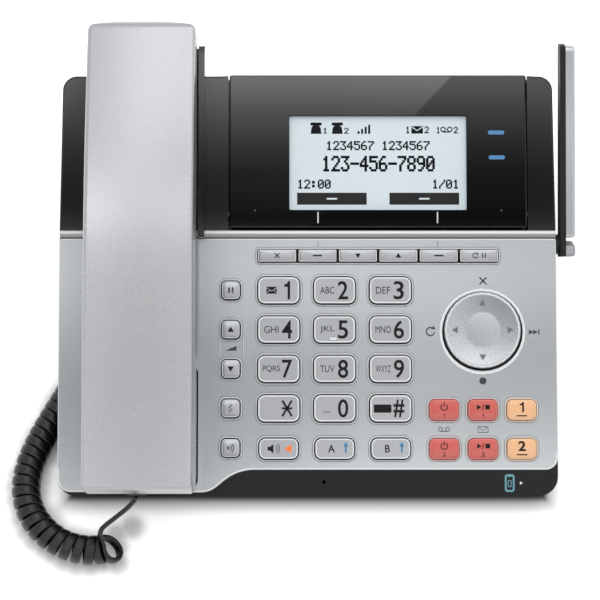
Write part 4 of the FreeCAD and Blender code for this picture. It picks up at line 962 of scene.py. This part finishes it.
def softenedLine(corners, steps=10):
    # straight runs joined by tangent arcs; corners are (x, v, radius)
    corners = [np.array(c, float) for c in corners]
    line = [corners[0][:2]]
    for before, here, after in zip(corners, corners[1:], corners[2:]):
        a, b = unit(before[:2] - here[:2]), unit(after[:2] - here[:2])
        half = math.acos(float(np.clip(a @ b, -1, 1))) / 2
        reach = here[2] / math.tan(half)
        centre = here[:2] + unit(a + b) * here[2] / math.sin(half)
        p, q = here[:2] + a * reach - centre, here[:2] + b * reach - centre
        t = np.linspace(0, 1, steps)[:, None]
        line += list(centre + unit(p * (1 - t) + q * t) * here[2])
    line.append(corners[-1][:2])
    return np.array(line)


def lipMarks():
    # bright lines painted along the plate's near lip and its far edge as highlights
    side, left, right, end = [plateLook[name] for name in ("side", "nearLeft", "nearRight", "end")]
    lip = softenedLine([(-side, 11.0, 0), (-side, left, 5.1), (-41.1, left, 10.4), (-29.5, right, 19.6),
                        (side, right, 4.6), (side, 18.0, 0)])
    return [("paintedHighlight", ribbon(lip, 0.55, -0.05, 0.06)),
            ("paintedHighlight", ribbon([(-103.9, end - 0.22), (103.9, end - 0.22)], 0.42, -0.05, 0.03))]


def discSigns():
    # delete, record, repeat and skip signs round the disc
    low, high = plateLook["low"], plateLook["high"]
    strokes = [[(73.7 - d, 88.45), (73.7 + d, 91.45)] for d in (-1.5, 1.5)]
    signs = [ribbon(stroke, 0.6, low, high) for stroke in strokes]
    signs.append(disc(73.4, 47.9, 1.5, low, high))
    signs.append(ribbon(arc(51.5, 68.6, 1.7, 60, 350, 24), 0.55, low, high))
    signs.append(arrow(52.7, 70.1, 1.1, 330, low, high + 0.001))
    signs += [arrow(94.9 + d, 68.4, 1.3, 0, low, high) for d in (-1.5, 0.3)]
    signs.append(ribbon([(97.0, 67.2), (97.0, 69.6)], 0.5, low, high))
    return [("inkGrey", sign) for sign in signs]


def keySigns():
    # volume wedge, and a tape reel and an envelope between the coloured keys
    low, high = plateLook["low"], plateLook["high"]
    signs = [prism([(-34.6, 60.6), (-29.8, 60.6), (-29.8, 62.6)], low, high)]
    for d in (-1.5, 1.5):
        signs.append(ribbon(arc(57.0 + d, 27.7, 0.85, 0, 345, 20), 0.32, low, high, closed=True))
    signs.append(ribbon([(55.5, 26.85), (58.5, 26.85)], 0.32, low, high))
    signs.append(ribbon(roundedLoop(73.3, 27.6, 4.2, 2.4, 0.2), 0.28, low, high, closed=True))
    signs.append(ribbon([(71.4, 28.6), (73.3, 27.2), (75.2, 28.6)], 0.26, low, high))
    signs += [ribbon([(x, 104.3), (x, 107.0)], 0.2, low, high) for x in plateLook["ticks"]]
    return [("inkGrey", sign) for sign in signs]


def plateMarks():
    low, high = plateLook["low"], plateLook["high"]
    marks = []
    for name, (x, v, kind) in keySpots.items():
        if kind != "soft":
            marks += ringsRound((x, v, *keys["sizes"][kind]))
    softMiddle, softWidth = keys["softStart"] + 3 * keys["softPitch"], 6 * keys["softPitch"] - 0.5
    marks += ringsRound((softMiddle, keys["softRow"], softWidth, 5.6, 0.85))
    # a dark ring in the gap round the disc as painted shade, and a bright crescent on its near side as a
    # painted highlight
    marks.append(("paintedGapShade", bead(discSpot(), [(0.99, -0.9), (0.99, 0.012), (0.45, -0.2), (0.45, -0.9)])))
    crescent = [(1.95, -0.02), (1.75, 0.08), (0.95, 0.08), (0.8, -0.02)]
    marks.append(("paintedHaloSilver", bead(discSpot(plateLook["discDown"]), crescent)))
    # each speaker line is a grey line with a bright line beside it painted as a highlight
    for x in plateLook["speakerLines"]:
        marks.append(("inkGrey", ribbon([(x, 57.6), (x, 66.2)], 0.16, low, high)))
        marks.append(("paintedHighlight", ribbon([(x + 0.3, 57.6), (x + 0.3, 66.2)], 0.22, low, high + 0.01)))
    return marks + lipMarks() + discSigns() + keySigns()


markPiece("plate_marks", "base", plateMarks())


trimLook = {"half": 104.1, "edge": 2.6, "edgeWide": 0.95, "foot": 0.55, "footWide": 0.75}


def trimMarks():
    # the bright bar's far edge as a painted highlight, and its darker foot as painted shade, beyond the
    # plate's end
    half = trimLook["half"]
    edge, foot = plateLook["end"] + trimLook["edge"], plateLook["end"] + trimLook["foot"]
    return [("paintedHighlight", ribbon([(-half, edge), (half, edge)], trimLook["edgeWide"], 0.3, 0.66)),
            ("trimShade", ribbon([(-half, foot), (half, foot)], trimLook["footWide"], -0.6, -0.12))]


markPiece("trim_marks", "base", trimMarks())


deckLook = {"phone": (84.3, 5.3), "arrow": (89.0, 5.3), "low": -0.42, "high": -0.37}


def deckMarks():
    # a small telephone in outline and an arrow that points to the charging socket
    low, high = deckLook["low"], deckLook["high"]
    x, v = deckLook["phone"]
    return [("inkTeal", ribbon(roundedLoop(x, v, 3.3, 6.6, 0.8), 0.75, low, high, closed=True)),
            ("inkTeal", ribbon(roundedLoop(x, v - 0.2, 1.2, 2.6, 0.3), 0.35, low, high, closed=True)),
            ("inkTeal", ribbon([(x - 0.7, v + 2.75), (x + 0.7, v + 2.75)], 0.4, high, high + 0.01)),
            ("inkWhite", arrow(*deckLook["arrow"], 0.85, 0, low, high))]


markPiece("deck_marks", "base", deckMarks())

# disc: rounded face with a dished middle, a rim painted bright as a highlight, and four arrows
def discHeight(x, v):
    # its face's height, from the profile by distance from the middle
    r, h = np.array(discLook["profile"])[::-1].T
    return np.interp(np.hypot(x - discLook["centre"][0], v - discLook["centre"][1]), r, h)


def discFace():
    # the profile turned about the middle, closed below by a flat ring of its edge
    x, v = discLook["centre"]
    r = np.linspace(discLook["profile"][0][0], discLook["profile"][-1][0], 34)[:, None]
    turn = np.linspace(0, 2 * math.pi, 96, endpoint=False)
    flat = np.stack([x + r * np.cos(turn), v + r * np.sin(turn)], -1)
    points = np.concatenate([flat, discHeight(flat[..., 0], flat[..., 1])[..., None]], -1).reshape(-1, 3)
    n = len(turn)
    faces = gridFaces(len(r), n, closeColumns=True) + [list(range(len(points) - n, len(points)))]
    return points, faces + [list(range(n))[::-1]]


def discMarks():
    # its face, a rim painted bright as a highlight, and four arrows
    x, v = discLook["centre"]
    top, away = discLook["top"], discLook["arrows"]
    rim = [(-0.30, top - 0.22), (-0.62, top + 0.05), (-1.05, top + 0.01), (-1.1, top - 0.3)]
    marks = [("disc_silver", discFace()), ("paintedHighlight", bead(discSpot(), rim))]
    for turn, dx, dv in ((90, 0, away), (270, 0, -away), (180, -away - 0.2, 0), (0, away + 0.2, 0)):
        points, faces = arrow(x + dx, v + dv, 1.7, turn, -0.01, 0.03)
        points[:, 2] += discHeight(points[:, 0], points[:, 1])
        marks.append(("arrowGrey", (points, faces)))
    return marks


def paintDiscShade(piece):
    # painted shade: darker towards the far right outside the dish, the other way round inside it
    place = np.zeros(len(piece.data.vertices) * 3, np.float32)
    piece.data.vertices.foreach_get("co", place)
    place = place.reshape(-1, 3) - onPanel(*discLook["centre"], 1.4)
    dx, dv = place[:, 0] * 1000, place[:, 1] * 1000 / math.cos(slope)
    inside = ease((discLook["dish"] - np.hypot(dx, dv)) / 0.5)
    across = np.clip((dx * 0.45 + dv) / 15, -1, 1)
    writeValues(piece, "keyShade", across * (0.75 * inside - (1 - inside)) + 0.12 * inside)
    finish = np.zeros(len(piece.data.polygons), np.int32)
    piece.data.polygons.foreach_get("material_index", finish)
    piece.data.polygons.foreach_set("use_smooth", finish == 0)


paintDiscShade(markPiece("disc_marks", "nav_disc", discMarks()))
print("plate, deck and disc marks ready")


# lens: status lights, ticks and spots printed on its face
lensPrint = {"lamps": ((79.6, 152.8), (79.8, 142.2)), "lamp": (6.9, 1.7, 0.84), "tick": (114.3, 119.0),
             "spots": ((-22.1, 119.7), (81.6, 119.7)), "low": 0.59, "high": 0.63}


def lensMarks():
    low, high = lensPrint["low"], lensPrint["high"]
    near, far = lensPrint["tick"]
    marks = []
    for x, v in lensPrint["lamps"]:
        marks.append(("lampBlue", prism(roundedLoop(x, v, *lensPrint["lamp"]), low, high)))
    for x in plateLook["ticks"]:
        marks.append(("inkWhite", ribbon([(x, near), (x, far)], 0.5, low, high)))
    for x, v in lensPrint["spots"]:
        marks.append(("inkGrey", disc(x, v, 0.45, low, high)))
    return marks


markPiece("lens_marks", "display", lensMarks())

# LCD: dot letters, signs and two soft-key bars on its glass
dotShapes = {
    "0": "0e11131519110e", "1": "040c040404040e", "2": "0e11010204081f", "3": "1f02040201110e",
    "4": "02060a121f0202", "5": "1f101e0101110e", "6": "0608101e11110e", "7": "1f010204080808",
    "8": "0e11110e11110e", "9": "0e11110f01020c", "-": "0000001f000000", ":": "000c0c000c0c00",
    "/": "01010204081010", " ": "00000000000000"}
# words: lower left corner, width, height, and how heavy and tall each dot is
lcdLook = {
    "top": -1.9, "pad": 0.03,
    "words": [("1234567 1234567", 7.8, 145.6, 43.7, 3.8, 1.5, 1.25),
              ("123-456-7890", 6.0, 136.5, 47.4, 6.6, 1.65, 1.15),
              ("12:00", -4.4, 129.2, 14.0, 3.8, 1.5, 1.25), ("1/01", 52.6, 129.2, 11.2, 3.8, 1.5, 1.25),
              ("1", 6.5, 152.7, 1.7, 2.4, 1.6, 1.25), ("2", 15.5, 152.7, 1.7, 2.4, 1.6, 1.25),
              ("1", 41.5, 152.8, 1.7, 2.9, 1.6, 1.25), ("2", 49.5, 152.8, 1.7, 2.9, 1.6, 1.25),
              ("1", 54.5, 152.8, 1.5, 2.7, 1.6, 1.25), ("2", 61.8, 152.8, 1.7, 2.7, 1.6, 1.25)],
    "bars": ((-4.45, 24.97), (34.57, 64.02)), "barNear": 122.4, "barFar": 127.5,
    "deskSets": (3.6, 12.6), "signal": (21.6, 153.2), "envelope": (46.4, 154.3), "reel": (58.8, 154.5)}


def dotWords(words, x, v, width, height, heavy, tall):
    # each letter is five dots wide and seven high, and each dot is a small box
    columns = len(words) * 6 - 1
    dx, dv = width / columns, height / 7
    rows = np.array([[int(dotShapes[c][2 * k:2 * k + 2], 16) for c in words] for k in range(7)])
    bits = (rows[:, :, None] >> np.arange(4, -1, -1)) & 1
    r, letter, column = np.nonzero(bits)
    px = x + (letter * 6 + column) * dx
    pv = v + (6 - r) * dv
    box = np.array([(0, 0), (heavy, 0), (heavy, tall), (0, tall)])
    low, high = lcdLook["top"] - 0.01, lcdLook["top"] + lcdLook["pad"]
    flat = np.stack([px[:, None] + box[:, 0] * dx, pv[:, None] + box[:, 1] * dv], -1)
    points = np.concatenate([np.concatenate([flat, np.full((len(px), 4, 1), h)], -1) for h in (low, high)], 1)
    local = np.array([(4, 5, 6, 7), (3, 2, 1, 0), (0, 1, 5, 4), (1, 2, 6, 5), (2, 3, 7, 6), (3, 0, 4, 7)])
    faces = (local[None] + np.arange(len(px))[:, None, None] * 8).reshape(-1, 4).tolist()
    return points.reshape(-1, 3), faces


def lcdMarks():
    low, high = lcdLook["top"] - 0.01, lcdLook["top"] + lcdLook["pad"]
    over = high + 0.02
    marks = [("dotInk", dotWords(*row)) for row in lcdLook["words"]]
    near, far = lcdLook["barNear"], lcdLook["barFar"]
    for x0, x1 in lcdLook["bars"]:
        marks.append(("barInk", prism([(x0, near), (x1, near), (x1, far), (x0, far)], low, high)))
        x, v = (x0 + x1) / 2, (near + far) / 2
        marks.append(("lcd_pale", ribbon([(x - 2.2, v), (x + 2.2, v)], 0.7, high, over)))
    # two desk sets, a signal fan, an envelope and a tape reel
    half = np.array([(2.3, 152.6), (1.9, 155.3), (1.0, 156.4)])
    for x in lcdLook["deskSets"]:
        base = [(x - 2.3, 152.6)] + [(x + a, v) for a, v in half] + [(x - a, v) for a, v in half[:0:-1]]
        marks.append(("dotInk", prism(base, low, high)))
        marks.append(("dotInk", prism(roundedLoop(x, 156.8, 4.8, 1.3, 0.5), low, high)))
    x, v = lcdLook["signal"]
    for k in range(4):
        bar = roundedLoop(x + k * 1.5, v + k * 0.45, 0.9, 1.2 + k * 0.9, 0.05)
        marks.append(("dotInk", prism(bar, low, high)))
    x, v = lcdLook["envelope"]
    marks.append(("dotInk", prism(roundedLoop(x, v, 4.9, 3.2, 0.2), low, high)))
    flap = [(x - 2.2, v + 1.2), (x, v - 0.3), (x + 2.2, v + 1.2)]
    marks.append(("lcd_pale", ribbon(flap, 0.4, high, over)))
    x, v = lcdLook["reel"]
    for d in (-1.4, 1.4):
        marks.append(("dotInk", ribbon(arc(x + d, v, 0.95, 0, 345, 18), 0.5, low, high, closed=True)))
    marks.append(("dotInk", ribbon([(x - 1.4, v - 1.1), (x + 1.4, v - 1.1)], 0.5, low, high)))
    return marks


markPiece("lcd_marks", "display", lcdMarks())
print("display marks ready")

# light, floor and background
light = {"world": 0.50, "power": 11.0, "size": (1.5, 1.2), "place": (0.0, 0.15, 1.6), "aim": (0, 0, 0.05)}


def addLamp():
    # one wide soft lamp overhead; what gloss shows is the card instead
    data = bpy.data.lights.new("lampTop", "AREA")
    data.shape = "RECTANGLE"
    data.size, data.size_y = light["size"]
    data.energy = light["power"]
    lamp = bpy.data.objects.new("lampTop", data)
    bpy.context.scene.collection.objects.link(lamp)
    lamp.location = light["place"]
    aim = Vector(light["aim"]) - Vector(light["place"])
    lamp.rotation_euler = aim.to_track_quat("-Z", "Y").to_euler()
    lamp.visible_glossy = False


def emptyMaterial(name):
    material = bpy.data.materials.new(name)
    material.use_nodes = True
    tree = material.node_tree
    tree.nodes.clear()
    return material, tree, tree.nodes.new("ShaderNodeOutputMaterial")


def seenDirectly(tree):
    # 1 for rays from the camera and for what metal and glass show
    path = tree.nodes.new("ShaderNodeLightPath")
    seen = math2(tree, "MAXIMUM", path.outputs["Is Camera Ray"], path.outputs["Is Glossy Ray"])
    return math2(tree, "MAXIMUM", seen, path.outputs["Is Transmission Ray"])


# distances in metres: how far inside or outside the base's outline each change starts, and its reach
floorLook = {
    "size": 6.0, "fine": 0.18, "grid": 501, "power": 15, "colour": 0.93, "glow": 0.62,
    "baseStart": -0.0055, "baseReach": 0.0115, "contact": 0.88, "contactStart": 0.0018, "contactReach": 0.003,
    "cordStart": 0.002, "cordReach": 0.0065, "cordKeep": 0.15, "farStart": 0.25, "farReach": 0.9}


def footprint():
    # the base's outline on the floor: middle and half sizes
    corners = np.array([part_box(name) for name in ("upper_case", "rear_bezel")])
    low, high = corners[:, 0].min(0)[:2], corners[:, 1].max(0)[:2]
    return (low + high) / 2, (high - low) / 2


def floorValues(x, y):
    # how white each point is made for the camera: full a little way off, and less under the base
    # and beside the cord, which paints shade there and lets the shadows show; and how pale its paper is,
    # less where the base nearly touches it, a painted contact shadow
    middle, halfSize = footprint()
    out = np.maximum(np.abs(x - middle[0]) - halfSize[0], np.abs(y - middle[1]) - halfSize[1])
    offBase = ease((out - floorLook["baseStart"]) / floorLook["baseReach"])
    # painted contact shadow: the paper darker under the base's edge
    paintedContactShadow = 1 - floorLook["contact"] * ease((-floorLook["contactStart"] - out) / floorLook["contactReach"])
    toCord = np.full_like(x, 1.0)
    for px, py in cordLinePoints[::8, :2]:
        toCord = np.minimum(toCord, np.hypot(x - px, y - py))
    keep = floorLook["cordKeep"]
    offCord = keep + (1 - keep) * ease((toCord - floorLook["cordStart"]) / floorLook["cordReach"])
    far = ease((np.hypot(x, y) - floorLook["farStart"]) / floorLook["farReach"])
    return np.maximum(floorLook["glow"] * offBase * offCord, far), paintedContactShadow * floorLook["colour"]


def makeFloor():
    # a grid drawn together in the middle: each place is its number along the grid, from -1 to 1,
    # times the fine part's size, plus a high power of it times the rest
    u = np.linspace(-1, 1, floorLook["grid"])
    line = floorLook["fine"] * u + (floorLook["size"] - floorLook["fine"]) * u ** floorLook["power"]
    x, y = np.meshgrid(line, line, indexing="ij")
    floor = makeMesh("floor", np.stack([x, y, np.zeros_like(x)], -1), gridFaces(*x.shape))
    glow, paperAndPaintedShadow = floorValues(x, y)
    # the paper's colour holds the painted contact shadow
    writeValues(floor, "glow", glow)
    writeValues(floor, "paper", paperAndPaintedShadow)
    material, tree, out = emptyMaterial("floorPaper")
    paper = tree.nodes.new("ShaderNodeBsdfDiffuse")
    tree.links.new(readValue(tree, "paper"), paper.inputs["Color"])
    shine = tree.nodes.new("ShaderNodeEmission")
    lit = math2(tree, "MULTIPLY", seenDirectly(tree), readValue(tree, "glow"))
    tree.links.new(lit, shine.inputs["Strength"])
    add = tree.nodes.new("ShaderNodeAddShader")
    tree.links.new(paper.outputs[0], add.inputs[0])
    tree.links.new(shine.outputs[0], add.inputs[1])
    tree.links.new(add.outputs[0], out.inputs["Surface"])
    floor.data.materials.append(material)


# A light card hangs overhead and only gloss shows it: bright towards the back, dark towards the
# front, and brighter again on the left of a slanting edge.
# steps: (place along Y, light); hand: the same over the strip that the handset shows, which
# handEdges bounds; edge: two points of the slanting edge, and left is the gain left of it; split:
# where along Y the edge comes in and goes; dim: a darker stretch along X and its least light;
# pools: soft spots, as (x, y, half width, half depth, gain)
card = {
    "height": 1.25, "power": 5.0, "low": (-1.6, -1.9), "high": (1.6, 1.3),
    "left": 1.8, "edge": ((0.139, -0.118), (0.0023, -0.269)), "edgeSoft": 0.0002,
    "split": (-0.29, -0.27, -0.10, -0.06), "dim": (-0.215, -0.165, 0.5),
    "steps": [(-0.90, 0.26), (-0.57, 0.44), (-0.53, 0.38), (-0.48, 0.16), (-0.43, 0.02), (-0.395, 0.10),
              (-0.34, 0.30), (-0.30, 0.46), (-0.283, 0.46), (-0.272, 0.04), (-0.261, 0.012), (-0.211, 0.040),
              (-0.182, 0.10), (-0.152, 0.22), (-0.127, 0.42), (-0.112, 0.52), (-0.080, 0.48), (0.02, 0.20),
              (0.15, 0.34), (0.90, 0.42)],
    "hand": [(-0.90, 0.12), (-0.50, 0.11), (-0.40, 0.05), (-0.25, 0.05), (-0.10, 0.18), (0.05, 0.50),
             (0.20, 0.60), (0.90, 0.60)],
    "handEdges": (-0.215, -0.20, -0.12, -0.105),
    "pools": [(-0.19, -0.48, 0.18, 0.095, -1.0), (0.27, -0.41, 0.09, 0.09, -0.8),
              (-0.35, -0.08, 0.08, 0.17, 3.0), (-0.02, 0.04, 0.09, 0.12, -0.6)]}


def rampAlong(tree, value, steps):
    # straight changes between the steps' levels
    first, last = steps[0][0], steps[-1][0]
    ramp = tree.nodes.new("ShaderNodeValToRGB")
    spots = ramp.color_ramp.elements
    while len(spots) < len(steps):
        spots.new(0.5)
    for spot, (place, level) in zip(spots, steps):
        spot.position = (place - first) / (last - first)
        spot.color = (level, level, level, 1)
    tree.links.new(mapRange(tree, value, first, last, 0, 1), ramp.inputs[0])
    return ramp.outputs[0]


def times(tree, *factors):
    # the product of several sockets or numbers
    product = factors[0]
    for factor in factors[1:]:
        product = math2(tree, "MULTIPLY", product, factor)
    return product


def slantGain(tree, x, y):
    # brighter left of the slanting edge, only over the stretch that the lens shows
    (x0, y0), (x1, y1) = card["edge"]
    across = times(tree, math2(tree, "SUBTRACT", x, x0), y0 - y1)
    down = times(tree, math2(tree, "SUBTRACT", y, y0), x0 - x1)
    beside = math2(tree, "SUBTRACT", across, down)
    gain = mapRange(tree, beside, -card["edgeSoft"], card["edgeSoft"], card["left"] - 1, 0)
    a, b, c, d = card["split"]
    gain = times(tree, gain, mapRange(tree, y, a, b, 0, 1), mapRange(tree, y, c, d, 1, 0))
    return math2(tree, "ADD", gain, 1.0)


def dimGain(tree, x, y):
    # darker at the left end of the same stretch
    start, end, least = card["dim"]
    a, b = card["split"][:2]
    dim = times(tree, mapRange(tree, x, start, end, 1 - least, 0), mapRange(tree, y, a, b, 0, 1))
    return math2(tree, "SUBTRACT", 1.0, dim)


def poolGain(tree, x, y, pool):
    # a soft pool of more or less light: a bell curve of the distance
    px, py, wide, deep, gain = pool
    dx = math2(tree, "DIVIDE", math2(tree, "SUBTRACT", x, px), wide)
    dy = math2(tree, "DIVIDE", math2(tree, "SUBTRACT", y, py), deep)
    away = math2(tree, "ADD", times(tree, dx, dx), times(tree, dy, dy))
    bell = math2(tree, "EXPONENT", times(tree, away, -1.0))
    return math2(tree, "ADD", times(tree, bell, gain), 1.0)


def makeCard():
    (x0, y0), (x1, y1), z = card["low"], card["high"], card["height"]
    sheet = makeMesh("light_card", [(x0, y0, z), (x1, y0, z), (x1, y1, z), (x0, y1, z)], [(3, 2, 1, 0)])
    material, tree, out = emptyMaterial("lightCard")
    glow = tree.nodes.new("ShaderNodeEmission")
    place = tree.nodes.new("ShaderNodeTexCoord")
    x, y = partsOf(tree, place.outputs["Object"])
    level = times(tree, rampAlong(tree, y, card["steps"]), slantGain(tree, x, y), dimGain(tree, x, y))
    for pool in card["pools"]:
        level = times(tree, level, poolGain(tree, x, y, pool))
    a, b, c, d = card["handEdges"]
    within = times(tree, mapRange(tree, x, a, b, 0, 1), mapRange(tree, x, c, d, 1, 0))
    hand = times(tree, rampAlong(tree, y, card["hand"]), within)
    level = math2(tree, "ADD", times(tree, level, math2(tree, "SUBTRACT", 1.0, within)), hand)
    tree.links.new(times(tree, level, card["power"]), glow.inputs["Strength"])
    tree.links.new(glow.outputs[0], out.inputs["Surface"])
    sheet.data.materials.append(material)
    sheet.visible_camera = False
    sheet.visible_diffuse = False
    sheet.visible_transmission = False
    sheet.visible_shadow = False


def makeWorld():
    # even light from all round, and white where the camera, metal or glass show it
    world = bpy.data.worlds.new("world")
    bpy.context.scene.world = world
    world.use_nodes = True
    tree = world.node_tree
    back = tree.nodes["Background"]
    back.inputs["Color"].default_value = (1, 1, 1, 1)
    lift = math2(tree, "MULTIPLY", seenDirectly(tree), 1.0 - light["world"])
    tree.links.new(math2(tree, "ADD", lift, light["world"]), back.inputs["Strength"])


makeFloor()
makeCard()
makeWorld()
addLamp()
bpy.context.scene.view_settings.view_transform = "Standard"
print("stage ready")
